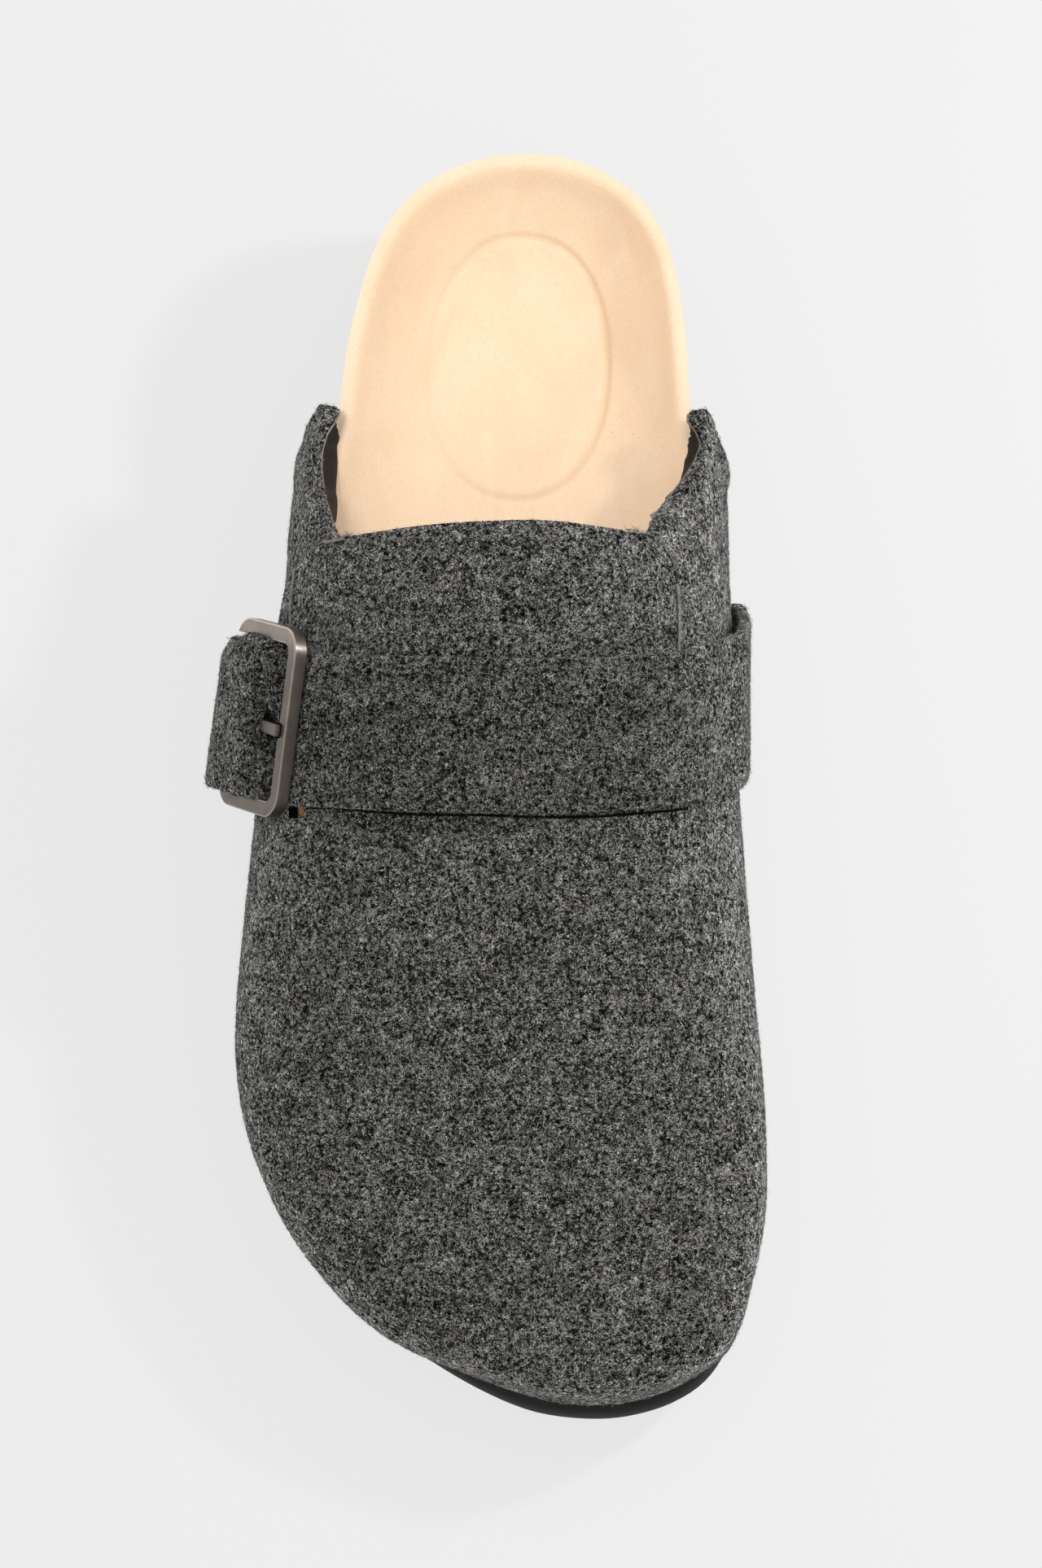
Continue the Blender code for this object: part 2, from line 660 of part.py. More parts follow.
def open_curve(points, count):
    """Catmull-Rom curve through (x, q) points, by equal steps of length."""
    points = np.array(points, float)
    padded = np.vstack([2 * points[0] - points[1], points, 2 * points[-1] - points[-2]])
    fine = []
    for before, start, end, after in zip(padded, padded[1:], padded[2:], padded[3:]):
        for t in np.linspace(0.0, 1.0, 24, endpoint=False):
            bend = (2 * before - 5 * start + 4 * end - after) * t**2
            twist = (3 * start - before - 3 * end + after) * t**3
            fine.append(0.5 * (2 * start + (end - before) * t + bend + twist))
    fine = np.array(fine + [points[-1]])
    walked = np.concatenate([[0.0], np.cumsum(np.linalg.norm(np.diff(fine, axis=0), axis=1))])
    steps = np.linspace(0.0, walked[-1], count)
    return np.column_stack([np.interp(steps, walked, fine[:, k]) for k in (0, 1)]), steps


def reach_of(tree, angle, half_width):
    """Furthest reach of the upper from the section's centre along one direction, over the strap's width."""
    x = SECTION_CENTRE[0] + SECTION_REACH * math.cos(angle)
    axes = strap_axes(x)
    direction = Vector((math.cos(angle), 0.0, math.sin(angle)))
    reach = 0.0
    for share in STRAP_SHARES:
        w = share * half_width
        centre = Vector((SECTION_CENTRE[0] + w * strap_skew(x), w, SECTION_CENTRE[1]))
        start = axes @ (centre + direction * RAY_START)
        hit = tree.ray_cast(start, axes.to_3x3() @ -direction)
        if hit[0] is not None:
            reach = max(reach, RAY_START - hit[3])
    return reach


def frame_point(along, height):
    """(x, q) of a place on the buckle: along from its top bar to its hinge, and height over its plane."""
    run = (-math.cos(FRAME_SLOPE), -math.sin(FRAME_SLOPE))
    out = (-math.sin(FRAME_SLOPE), math.cos(FRAME_SLOPE))
    return tuple(FRAME_TOP[k] + run[k] * along + out[k] * height for k in (0, 1))


def strip_object(name, places, columns, thickness, trim_height, skin, group):
    """A strip of cloth: a grid of places, trimmed over the sole and given its thickness."""
    mesh = bpy.data.meshes.new(name)
    grid = bmesh.new()
    verts = [grid.verts.new(place * UNIT) for place in places]
    for i in range(len(verts) // columns - 1):
        for j in range(columns - 1):
            near, far = i * columns + j, (i + 1) * columns + j
            grid.faces.new([verts[near], verts[near + 1], verts[far + 1], verts[far]])
    everything = list(grid.verts) + list(grid.edges) + list(grid.faces)
    foot = (0.0, 0.0, trim_height * UNIT)
    bmesh.ops.bisect_plane(grid, geom=everything, plane_co=foot, plane_no=(0.0, 0.0, -1.0), clear_outer=True)
    bmesh.ops.recalc_face_normals(grid, faces=grid.faces)
    grid.to_mesh(mesh)
    grid.free()
    made = bpy.data.objects.new(name, mesh)
    mesh.materials.append(skin)
    group.objects.link(made)
    cloth = made.modifiers.new("thickness", "SOLIDIFY")
    cloth.thickness = thickness * UNIT
    cloth.offset = 0.0
    cloth.use_even_offset = True
    return made


def section_point(angle, reach):
    return (SECTION_CENTRE[0] + reach * math.cos(angle), SECTION_CENTRE[1] + reach * math.sin(angle))


def hanging(rows, place):
    return [(place[0] + row.x, place[1] + row.q) for row in rows]


def build_strap(tree, felt, group):
    """From the sole edge on the inner side over the flap, under the top bar, over the hinge and down."""
    half = STRAP_WIDTH / 2
    lift = GAP + STRAP_THICKNESS / 2
    angles = np.radians(np.arange(*STRAP_ARC))
    reaches = np.array([reach_of(tree, angle, half) for angle in angles])
    eased = np.convolve(np.pad(reaches, 1, mode="edge"), [0.25, 0.5, 0.25], mode="valid")
    reaches = np.maximum(reaches, eased) + lift
    path = []
    for angle, reach in zip(angles, reaches):
        aside = abs(math.degrees(angle) - STANDOFF_ANGLE) / STANDOFF_SPREAD
        path.append(section_point(angle, reach + STRAP_STANDOFF * smooth_step(1.0 - aside)))
    path = hanging(STRAP_FOOT, path[0]) + path
    under = -(FRAME_THICKNESS / 2 + lift)
    over = HINGE_RADIUS + HINGE_CLEAR + TAB_THICKNESS - HINGE_RECESS + GAP + lift
    path += [frame_point(row.along, under + (over - under) * row.share) for row in STRAP_PASS]
    path += hanging(STRAP_TAIL, path[-1])
    points, steps = open_curve(path, STRAP_STEPS)
    widths = []
    for remaining in steps[-1] - steps:
        corner = max(1.0 - remaining / STRAP_END_ROUND, 0.0)
        rounding = math.sqrt(max(1.0 - corner**2, 0.0))
        widths.append(half * (STRAP_END_WIDTH + (1.0 - STRAP_END_WIDTH) * rounding))
    places = strap_places(points, widths, TAIL_TAPER)
    return strip_object("strap", places, len(STRAP_SHARES), STRAP_THICKNESS, strip_foot(), felt, group)


def strip_foot():
    """Height over the sole where the strap and the tab are cut off."""
    return sole_top(STRIP_FOOT_Y) + 2 * GAP


def buckle_axes():
    """Matrix from the buckle's frame (along, across, over its plane), in millimetres, to the clog's."""
    run, out = math.cos(FRAME_SLOPE), math.sin(FRAME_SLOPE)
    plane = Matrix(((-run, 0.0, -out), (0.0, -1.0, 0.0), (-out, 0.0, run))).to_4x4()
    turn = Matrix.Rotation(-math.atan(STRAP_SKEW), 4, "Z")
    place = Matrix.Translation((FRAME_TOP[0], FRAME_SHIFT, FRAME_TOP[1]))
    return strap_axes(FRAME_TOP[0]) @ place @ turn @ plane


def place_on_buckle(item):
    axes = buckle_axes()
    axes.translation = axes.translation * UNIT
    item.matrix_world = axes


def add_mesh(name, work, skin, group):
    """An object on the buckle's frame from a working mesh in millimetres."""
    mesh = bpy.data.meshes.new(name)
    bmesh.ops.scale(work, vec=(UNIT, UNIT, UNIT), verts=work.verts)
    bmesh.ops.recalc_face_normals(work, faces=work.faces)
    work.to_mesh(mesh)
    work.free()
    made = bpy.data.objects.new(name, mesh)
    if skin:
        mesh.materials.append(skin)
    else:
        made.display_type = "WIRE"
        made.hide_render = True
    group.objects.link(made)
    place_on_buckle(made)
    return made


def rod(name, start, end, radius, group):
    """A round bar between two places of the buckle's frame."""
    start, end = Vector(start), Vector(end)
    length = (end - start).length
    turn = (end - start).to_track_quat("Z", "Y").to_matrix().to_4x4()
    pose = Matrix.Translation((start + end) / 2) @ turn
    work = bmesh.new()
    bmesh.ops.create_cone(
        work, cap_ends=True, segments=12, radius1=radius, radius2=radius, depth=length, matrix=pose
    )
    return add_mesh(name, work, None, group)


def box(name, centre, size, group, turn=0.0, skin=None):
    """A block in the buckle's frame, turned about its across axis."""
    pose = Matrix.Translation(centre) @ Matrix.Rotation(turn, 4, "Y")
    work = bmesh.new()
    bmesh.ops.create_cube(work, size=1.0, matrix=pose @ Matrix.Diagonal((*size, 1.0)))
    return add_mesh(name, work, skin, group)


def prong_bar(name, first, last, growth, group, skin=None):
    """A flat bar on the prong's line between two places along the frame, grown all round."""
    start = Vector((first, PRONG_ACROSS, prong_line(first)))
    end = Vector((last, PRONG_ACROSS, prong_line(last)))
    slope = math.atan2(start.z - end.z, end.x - start.x)
    size = ((end - start).length, PRONG_WIDTH + 2 * growth, PRONG_THICKNESS + 2 * growth)
    return box(name, (start + end) / 2, size, group, slope, skin)


def boolean(item, other, operation):
    cut = item.modifiers.new(other.name, "BOOLEAN")
    cut.object = other
    cut.operation = operation
    cut.solver = "EXACT"


def rounded_loop(length, width, corner, centre_along, steps=4):
    """Corner-rounded rectangle as places, the same count for any size."""
    places = []
    signs = ((1, 1), (-1, 1), (-1, -1), (1, -1))
    for index, (sx, sy) in enumerate(signs):
        for step in range(steps + 1):
            angle = math.pi / 2 * (index + step / steps)
            along = sx * (length / 2 - corner) + corner * math.cos(angle)
            across = sy * (width / 2 - corner) + corner * math.sin(angle)
            places.append((centre_along + along, across, 0.0))
    return places


def prong_line(along):
    """Height of the prong's axis over the buckle's plane."""
    start, end = PRONG_BASE, PRONG_TIP
    return start[1] + (end[1] - start[1]) * (along - start[0]) / (end[0] - start[0])


def build_buckle(metal, group, cutters):
    """The frame with its hinge bar, and the prong hung on the bar with its tip in the frame's notch."""
    outer = rounded_loop(FRAME_LENGTH + FRAME_BAR, FRAME_WIDTH, FRAME_CORNER, FRAME_LENGTH / 2)
    inside = FRAME_WIDTH - 2 * FRAME_BAR
    inner = rounded_loop(FRAME_LENGTH - FRAME_BAR, inside, FRAME_INNER_CORNER, FRAME_LENGTH / 2)
    work = bmesh.new()
    loops = [[work.verts.new(place) for place in loop] for loop in (outer, inner)]
    for i in range(len(outer)):
        after = (i + 1) % len(outer)
        work.faces.new([loops[0][i], loops[0][after], loops[1][after], loops[1][i]])
    frame = add_mesh("buckle_frame", work, metal, group)
    plate = frame.modifiers.new("thickness", "SOLIDIFY")
    plate.thickness = FRAME_THICKNESS * UNIT
    plate.offset = 0.0
    chamfer = frame.modifiers.new("chamfer", "BEVEL")
    chamfer.width = FRAME_CHAMFER * UNIT
    chamfer.segments = 1
    chamfer.limit_method = "ANGLE"
    chamfer.angle_limit = math.radians(50.0)
    hinge_gap = box("hinge_gap", (FRAME_LENGTH + HINGE_GAP_SHIFT, 0.0, 0.0), HINGE_GAP_SIZE, cutters)
    boolean(frame, hinge_gap, "DIFFERENCE")
    notch = prong_bar("prong_notch", PRONG_TIP[0] - PRONG_CLEAR, NOTCH_ALONG, PRONG_CLEAR, cutters)
    boolean(frame, notch, "DIFFERENCE")
    reach = (FRAME_WIDTH - FRAME_BAR) / 2
    start, end = (FRAME_LENGTH, -reach, -HINGE_RECESS), (FRAME_LENGTH, reach, -HINGE_RECESS)
    bar = rod("hinge_bar", start, end, HINGE_RADIUS, cutters)
    boolean(frame, bar, "UNION")
    prong = prong_bar("buckle_prong", PRONG_TIP[0], PRONG_BASE[0], 0.0, group, metal)
    rounding = prong.modifiers.new("rounding", "BEVEL")
    rounding.width = PRONG_ROUND * UNIT
    rounding.segments = 2
    bpy.ops.mesh.primitive_torus_add(
        major_segments=16,
        minor_segments=8,
        major_radius=(HINGE_RADIUS + GAP + PRONG_COLLAR) * UNIT,
        minor_radius=PRONG_COLLAR * UNIT,
    )
    collar = bpy.context.object
    collar.name = "prong_collar"
    for owner in list(collar.users_collection):
        owner.objects.unlink(collar)
    cutters.objects.link(collar)
    collar.hide_render = True
    collar.display_type = "WIRE"
    collar.data.transform(Matrix.Rotation(math.pi / 2, 4, "X"))
    hub = Vector((FRAME_LENGTH, PRONG_ACROSS, -HINGE_RECESS)) * UNIT
    collar.data.transform(Matrix.Translation(hub))
    place_on_buckle(collar)
    boolean(prong, collar, "UNION")


def build_tab(tree, felt, group, cutters):
    """The folded tab: up the outer side from the sole, round the hinge bar and back down over itself."""
    lift = GAP + TAB_THICKNESS / 2
    rise = []
    for angle in np.radians(TAB_ANGLES):
        rise.append(section_point(angle, reach_of(tree, angle, TAB_WIDTH / 2) + lift))
    rise = hanging(TAB_FOOT, rise[0]) + rise
    fold = HINGE_RADIUS + HINGE_CLEAR + TAB_THICKNESS / 2
    rise.append(frame_point(FRAME_LENGTH + TAB_RUN_OUT, -HINGE_RECESS - fold))
    inner, _ = open_curve(rise, 22)
    turn = []
    for angle in np.radians(np.arange(-90.0, -316.0, -22.5)):
        turn.append(
            frame_point(FRAME_LENGTH + fold * math.cos(angle), -HINGE_RECESS + fold * math.sin(angle))
        )
    heading = np.gradient(inner, axis=0)
    heading /= np.linalg.norm(heading, axis=1, keepdims=True)
    apart = np.column_stack([-heading[:, 1], heading[:, 0]]) * (TAB_THICKNESS + 2 * GAP)
    back = (inner + apart)[9:20][::-1]
    path = np.vstack([inner, turn, back])
    places = strap_places(path, [TAB_WIDTH / 2] * len(path))
    tab = strip_object("buckle_tab", places, len(STRAP_SHARES), TAB_THICKNESS, strip_foot(), felt, group)
    slot = box("tab_slot", (FRAME_LENGTH - TAB_SLOT_SHIFT, PRONG_ACROSS, 0.0), TAB_SLOT_SIZE, cutters)
    boolean(tab, slot, "DIFFERENCE")


def main():
    fresh_scene()
    clog = collection("buckle_clog")
    cutters = collection("cutters", hidden=True)
    felt = material("grey_felt", (0.09, 0.088, 0.084), 0.95)
    cork = material("footbed_cork", (0.42, 0.27, 0.15), 0.9)
    suede = material("tan_suede", (0.75, 0.55, 0.36), 0.9)
    rubber = material("black_sole", (0.02, 0.02, 0.02), 0.8)
    metal = material("gunmetal", (0.15, 0.145, 0.14), 0.35, 1.0)
    build_tread(build_outsole(rubber, clog), cutters)
    build_footbed(cork, suede, clog)
    upper = build_upper(felt, clog)
    places = [vert.co / UNIT for vert in upper.data.vertices]
    tree = BVHTree.FromPolygons(places, [list(face.vertices) for face in upper.data.polygons])
    strap = build_strap(tree, felt, clog)
    build_buckle(metal, clog, cutters)
    build_tab(tree, felt, clog, cutters)
    hole = prong_bar("prong_hole", HOLE_ALONG[0], HOLE_ALONG[1], PRONG_CLEAR, cutters)
    boolean(strap, hole, "DIFFERENCE")


main()
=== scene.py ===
import math
from collections import namedtuple

import bpy
import numpy as np
from mathutils import Matrix, Vector
from mathutils.bvhtree import BVHTree
from mathutils.kdtree import KDTree


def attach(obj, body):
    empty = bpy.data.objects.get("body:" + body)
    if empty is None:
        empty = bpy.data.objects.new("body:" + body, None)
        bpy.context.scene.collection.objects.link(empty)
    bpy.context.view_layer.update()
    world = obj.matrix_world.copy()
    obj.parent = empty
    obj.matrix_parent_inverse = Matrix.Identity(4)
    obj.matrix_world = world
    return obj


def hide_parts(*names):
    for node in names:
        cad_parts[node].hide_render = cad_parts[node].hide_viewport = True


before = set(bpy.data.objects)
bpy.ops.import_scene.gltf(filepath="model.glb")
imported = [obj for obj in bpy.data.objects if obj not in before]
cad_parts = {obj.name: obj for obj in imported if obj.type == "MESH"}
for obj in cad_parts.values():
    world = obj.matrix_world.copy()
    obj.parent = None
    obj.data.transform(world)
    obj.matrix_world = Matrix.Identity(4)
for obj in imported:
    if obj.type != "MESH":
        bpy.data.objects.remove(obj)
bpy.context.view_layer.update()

MM = 0.001

# Camera of the photograph: above the toe end, looking down at the instep
IMAGE_SIZE = (1280, 1927)
CAMERA_TARGET = Vector((0.0, 0.0, 0.030))
CAMERA_ELEVATION = math.radians(75.0)
CAMERA_DISTANCE = 1.2
SENSOR = 36.0
FOCAL_PIXELS = 7020.0

# Light and floor
KEY_PLACE = Vector((0.44, 0.165, 0.47))
KEY_SIZE = 0.06
KEY_POWER = 1.35
FLOOR_KEY_POWER = 1.8
SKY_COLOUR = (1.0, 0.995, 0.985, 1.0)
SKY_STRENGTH = 0.76
INSOLE_LAMP_PLACE = Vector((-0.24, 0.0, 0.84))
INSOLE_LAMP_SIZE = 0.25
INSOLE_LAMP_POWER = 3.8
FLOOR_SIZE = 8.0
FLOOR_GLOW = 0.745
FLOOR_COLOUR = (0.1, 0.1, 0.1, 1.0)

# Edges and smoothing of the pieces
SHARP_ANGLE = math.radians(48.0)
SOLE_SHARP_ANGLE = math.radians(35.0)
QUAD_FACE_ANGLE = math.radians(45.0)
QUAD_SHAPE_ANGLE = math.radians(60.0)
FELT_CREASE = 0.8
INSOLE_CREASE = 0.55
FOOTBED_CREASE = 0.7
SOLE_CREASE = 0.9
FELT_LEVELS = 3
TAB_LEVELS = 2
INSOLE_LEVELS = 3
MOULDED_LEVELS = 2
CAGE_ROUNDS = 4
MERGE = 1e-5
FELT_SHADING = math.radians(70.0)
INSOLE_SHADING = math.radians(80.0)
MOULDED_SHADING = math.radians(45.0)
FRAME_SHADING = math.radians(35.0)
PRONG_SHADING = math.radians(40.0)
SMALL_SHADING = math.radians(50.0)

# Slots of a sheet's faces, and the least reach to upper, insole and footbed from a face of the lining
OUTER_FELT = 0
CUT_EDGE = 1
LINING = 2
LOOK_START = 0.2 * MM
ACROSS_FOOT = 120 * MM
LINING_REACH = (15 * MM, 0.0, 0.0)

# Felt waviness, as (size of a wave, height of it)
FELT_WAVES = ((26 * MM, 0.5 * MM), (7 * MM, 0.22 * MM))

# Felt's look: strands as (fineness, width), then the parts that strands, ground and blotches have in its tone
STRANDS = ((2200.0, 0.10), (2900.0, 0.11), (1500.0, 0.07))
STRANDS_SHOWN = (0.26, 0.62)
STRAND_PART = 0.84
GROUND_PART = 0.66
BLOTCH_PART = 0.42
TONE_SPAN = (0.70, 1.12)
FELT_TINT = (1.0, 0.99, 0.955)
FELT_TONES = ((0.0, 0.0032), (0.2, 0.010), (0.5, 0.0355), (0.8, 0.16), (1.0, 0.60))
# The felt is painted lighter where it is seen at a grazing angle: a painted sheen
GRAZING_FROM = 0.12
GRAZING_TO = 0.75
GRAZING_SHEEN_GAIN = 2.0
GROUND_FINENESS = 4400.0
BLOTCH_FINENESS = 210.0
WARM_FINENESS = 330.0
WARM_TINT = (1.0, 0.93, 0.84, 1.0)

# Lightness of the felts and linings, and colours of the thin lines and small pieces; the inner lining's
# near-black and the dark lines and gap block are painted shade
UPPER_FELT = 1.0
EDGE_FELT = 0.85
STRAP_FELT = 0.8
LINING_SHADE_LIGHTNESS = 0.06
LINING_CUT = 2.8
FELT_CUT_COLOUR = (0.34, 0.332, 0.315)
STEP_SHADOW_COLOUR = (0.016, 0.0155, 0.015)
STRAP_SHADE_COLOUR = (0.007, 0.007, 0.007)
LEATHER_COLOUR = (0.36, 0.165, 0.062)
GAP_SHADE_COLOUR = (0.004, 0.004, 0.004)

# Sideways corrections along the foot, as places y and shifts away from the foot's middle, in millimetres
QUARTER_SHIFTS = {
    -1: ((40, 46, 50, 55, 62, 67, 71, 74, 76), (0.0, 1.5, 2.2, 2.6, 2.6, 2.2, 0.9, -1.0, -1.9)),
    1: ((46, 50, 54, 57, 60.3, 64.6, 68.4, 71.5, 74), (0.0, -0.8, -1.1, -1.0, 0.2, 1.6, 2.5, 1.2, -0.8)),
}
QUARTER_REACH = 12.0 * MM
LINING_TUCK = 5.0 * MM
LINING_TUCK_FROM = 1.5 * MM
LINING_TUCK_DEPTH = 8.0 * MM
LINING_TUCK_FADE = 8.0 * MM
TOP_LINE_REACH = 4
REAR_END_FADE = 2.2
RIM_SHIFTS = {
    -1: ((40, 60, 66, 75, 90, 105), (0.0, 1.0, 1.0, 0.65, 0.3, 0.0)),
    1: ((40, 60, 68, 75, 90, 105), (0.0, 0.8, 0.8, 0.45, 0.1, 0.0)),
}
CORK_SHIFTS = {side: ((50, 62, 85, 100, 115), (0.0, -0.9, -0.9, -0.5, 0.0)) for side in (-1, 1)}
TOE_CENTRE = Vector((5.0 * MM, -60.0 * MM))
TOE_ANGLES = (130.0, 150.0, 245.0, 268.0)
TOE_INSET = 1.3 * MM
SIDE_FROM = 12.0 * MM
SIDE_FULL = 26.0 * MM

# Heel pad outline pressed into the insole
OVAL_CENTRE = Vector((-0.5 * MM, 92.0 * MM))
OVAL_HALF = (19.0 * MM, 29.0 * MM)
OVAL_TILT = math.radians(3.0)
OVAL_POWER = 2.25
GROOVE_DEPTH = 0.42 * MM
GROOVE_WIDTH = 0.75 * MM
PAD_RAISE = 0.22 * MM
PAD_SHOULDER = 2.4 * MM
OVAL_BAND = 2.2 * MM
# Width of the rim band painted paler: a painted highlight
RIM_BAND = 2.3 * MM
FACES_UP = 0.5
FACES_SHOWN = 0.3

# Loose fibres: long curled ones lying on the felt, and short thin ones standing on it
Fibres = namedtuple("Fibres", "length radius lift curl tone")
LYING = Fibres((0.7 * MM, 1.8 * MM), (0.035 * MM, 0.070 * MM), (0.02, 0.16), 0.45, (1.3, 0.9))
STANDING = Fibres((0.5 * MM, 1.3 * MM), (0.010 * MM, 0.019 * MM), (0.25, 0.95), 0.35, (2.5, 2.5))
FIBRE_ROOT = 0.04 * MM
FIBRE_BOW = 0.04
FIBRE_SIDES = 3
COVER_START = 0.1 * MM
COVER_REACH = 8 * MM
UPPER_LYING = 33000
UPPER_STANDING = 33000
STRAP_LYING = 14000
STRAP_STANDING = 12000

# Thin lines along the felt's edges: pale cut lines, and dark strands of painted shadow beside the flap's step
# and under the strap's front edge
FLAP_LINE = 0.36 * MM
FLAP_LINE_LIFT = 0.30 * MM
FLAP_SHADE = 0.25 * MM
FLAP_SHADE_OUT = 0.55 * MM
FLAP_LINE_FIBRES = 500
FLAP_FIBRES_SEED = 21
FLAP_MIDDLE = Vector((-8.0 * MM, 10.0 * MM, 50.0 * MM))
LINE_STEPS = 60
STRAP_SHADE = 0.28 * MM
STRAP_FRONT = (
    (-43.8, -11.5, 54.4), (-34.7, -13.7, 60.8), (-22.2, -16.0, 65.9), (-7.4, -16.9, 68.6),
    (11.4, -17.1, 67.8), (24.7, -15.0, 63.1), (33.7, -12.0, 55.6),
)
FLAP_OUTER_SIDE = (
    (-35.2, 41.6, 70.1), (-39.0, 41.9, 66.1), (-41.0, 42.2, 63.0), (-43.4, 42.0, 58.5), (-45.5, 41.0, 54.0),
    (-45.8, 39.3, 53.2), (-46.3, 37.0, 53.4), (-46.8, 32.8, 53.0), (-47.1, 26.5, 53.5), (-47.2, 21.8, 53.9),
)
FLAP_INNER_SIDE = (
    (22.0, 40.6, 78.0), (25.5, 40.5, 74.5), (28.3, 39.5, 71.5), (30.3, 37.3, 70.8), (31.3, 34.0, 70.0),
    (32.0, 29.0, 68.8), (32.2, 23.3, 67.7), (32.15, 18.0, 66.8),
)
LINING_LINE = 0.24 * MM
LINING_LINE_FROM_Y = 44.0 * MM
LINING_LINE_LOW_Z = 36.0 * MM

# The strap's rear edge lies down on the flap, and its hole closes round the prong
PRESS_RUN = 3.2 * MM
PRESS_DEPTH = 1.4 * MM
PRESS_FROM_X = 20.0 * MM
PRESS_FADE = 12.0 * MM
FACES_REAR = 0.5
HUG_REACH = 0.8 * MM
HUG_GAP = 0.35 * MM
HUG_REST = 0.06 * MM

# The strap's tail reaches up to the buckle's upper arm between two places x
TAIL_WIDEN = 2.1 * MM
TAIL_REACH = 7.0 * MM
TAIL_SPAN = (-60.5 * MM, -46.0 * MM)
TAIL_FADE = 3.0 * MM

# Leather end, and a black block of painted shade in the gap under the strap's front edge beside the buckle:
# place (x, y), half sizes
LEATHER_END = ((-45.0 * MM, -11.4 * MM), (0.7 * MM, 1.35 * MM, 0.5 * MM))
GAP_SHADE_BLOCK = ((-46.8 * MM, -11.3 * MM), (1.3 * MM, 1.6 * MM, 0.35 * MM))

# Buckle, in millimetres and in its own axes from the top bar to the hinge
BUCKLE_ORIGIN = (-47.55, 3.8599, 62.1352)
BUCKLE_ALONG = (-0.465554, 0.358858, -0.809)
BUCKLE_ACROSS = (-0.128915, -0.931851, -0.339166)
BUCKLE_OVER = (-0.87558, -0.053608, 0.48009)
FRAME_LENGTH = 25.0
FRAME_WIDTH = 39.4
FRAME_BAR = 3.4
FRAME_THICKNESS = 2.9
FRAME_CORNER = 5.5
FRAME_CORNER_STEPS = 12
FRAME_CHAMFER = 0.32
HINGE_RADIUS = 0.9
HINGE_RECESS = 1.1
HINGE_GAP_SHIFT = 1.2
HINGE_GAP_SIZE = (8.0, FRAME_WIDTH - 2 * FRAME_BAR + 0.2, 8.0)
PRONG_BASE = (23.6, -0.6)
PRONG_TIP = (0.6, 1.7)
PRONG_ACROSS = 1.4
NOTCH_FROM = 0.25
NOTCH_TO = 5.0
NOTCH_SIZE = (NOTCH_TO - NOTCH_FROM, 3.2, 2.4)
PRONG_SLIM = 0.78
PRONG_CHAMFER = 0.18
# The heel-side arm is painted paler between two places across, a painted highlight; the sides are painted
# darker, a painted shade; the chamfers are painted paler, a painted highlight
ARM_FROM = -12.5
ARM_TO = -17.5
ARM_HIGHLIGHT_GAIN = 1.9
SIDE_SHADE_GAIN = 0.6
METAL_ROUGHNESS = 0.36
EDGE_ROUGHNESS = 0.24
ROUGHNESS_SPREAD = 0.06
EDGE_HIGHLIGHT_LIGHTNESS = 2.0
CHAMFER_ANGLE = math.radians(50.0)
HINGE_SIDES = 32


# Selecting and finishing


def make_active(piece):
    bpy.ops.object.select_all(action="DESELECT")
    piece.select_set(True)
    bpy.context.view_layer.objects.active = piece


def apply(piece, kind, **settings):
    """Adds a modifier with its settings and applies it."""
    make_active(piece)
    made = piece.modifiers.new(kind.lower(), kind)
    for key, value in settings.items():
        setattr(made, key, value)
    bpy.ops.object.modifier_apply(modifier=made.name)


def copy_of(node_name, name):
    """A copy of a CAD node with its corners merged and its triangles joined to quads."""
    piece = bpy.data.objects.new(name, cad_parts[node_name].data.copy())
    bpy.context.scene.collection.objects.link(piece)
    piece.data.materials.clear()
    make_active(piece)
    bpy.ops.mesh.customdata_custom_splitnormals_clear()
    bpy.ops.object.mode_set(mode="EDIT")
    bpy.ops.mesh.select_mode(type="EDGE")
    bpy.ops.mesh.select_all(action="SELECT")
    bpy.ops.mesh.remove_doubles(threshold=MERGE)
    bpy.ops.mesh.tris_convert_to_quads(
        face_threshold=QUAD_FACE_ANGLE, shape_threshold=QUAD_SHAPE_ANGLE
    )
    bpy.ops.object.mode_set(mode="OBJECT")
    return piece


def crease_sharp(piece, angle, amount):
    make_active(piece)
    bpy.ops.object.mode_set(mode="EDIT")
    bpy.ops.mesh.select_mode(type="EDGE")
    bpy.ops.mesh.select_all(action="DESELECT")
    bpy.ops.mesh.edges_select_sharp(sharpness=angle)
    bpy.ops.transform.edge_crease(value=amount)
    bpy.ops.object.mode_set(mode="OBJECT")


def faces_by_edge(mesh):
    faces_of = {}
    for face in mesh.polygons:
        for key in face.edge_keys:
            faces_of.setdefault(key, []).append(face)
    return faces_of


def sharp_sides(piece, angle):
    """For each face, how many of its sides are sharp edges."""
    mesh = piece.data
    counts = [0] * len(mesh.polygons)
    for pair in faces_by_edge(mesh).values():
        if len(pair) == 2 and pair[0].normal.angle(pair[1].normal, 0.0) > angle:
            counts[pair[0].index] += 1
            counts[pair[1].index] += 1
    return counts


def normals_of(mesh):
    flat = np.empty(len(mesh.vertices) * 3)
    mesh.vertices.foreach_get("normal", flat)
    return flat.reshape(-1, 3)


def places_of(mesh):
    flat = np.empty(len(mesh.vertices) * 3)
    mesh.vertices.foreach_get("co", flat)
    return flat.reshape(-1, 3)


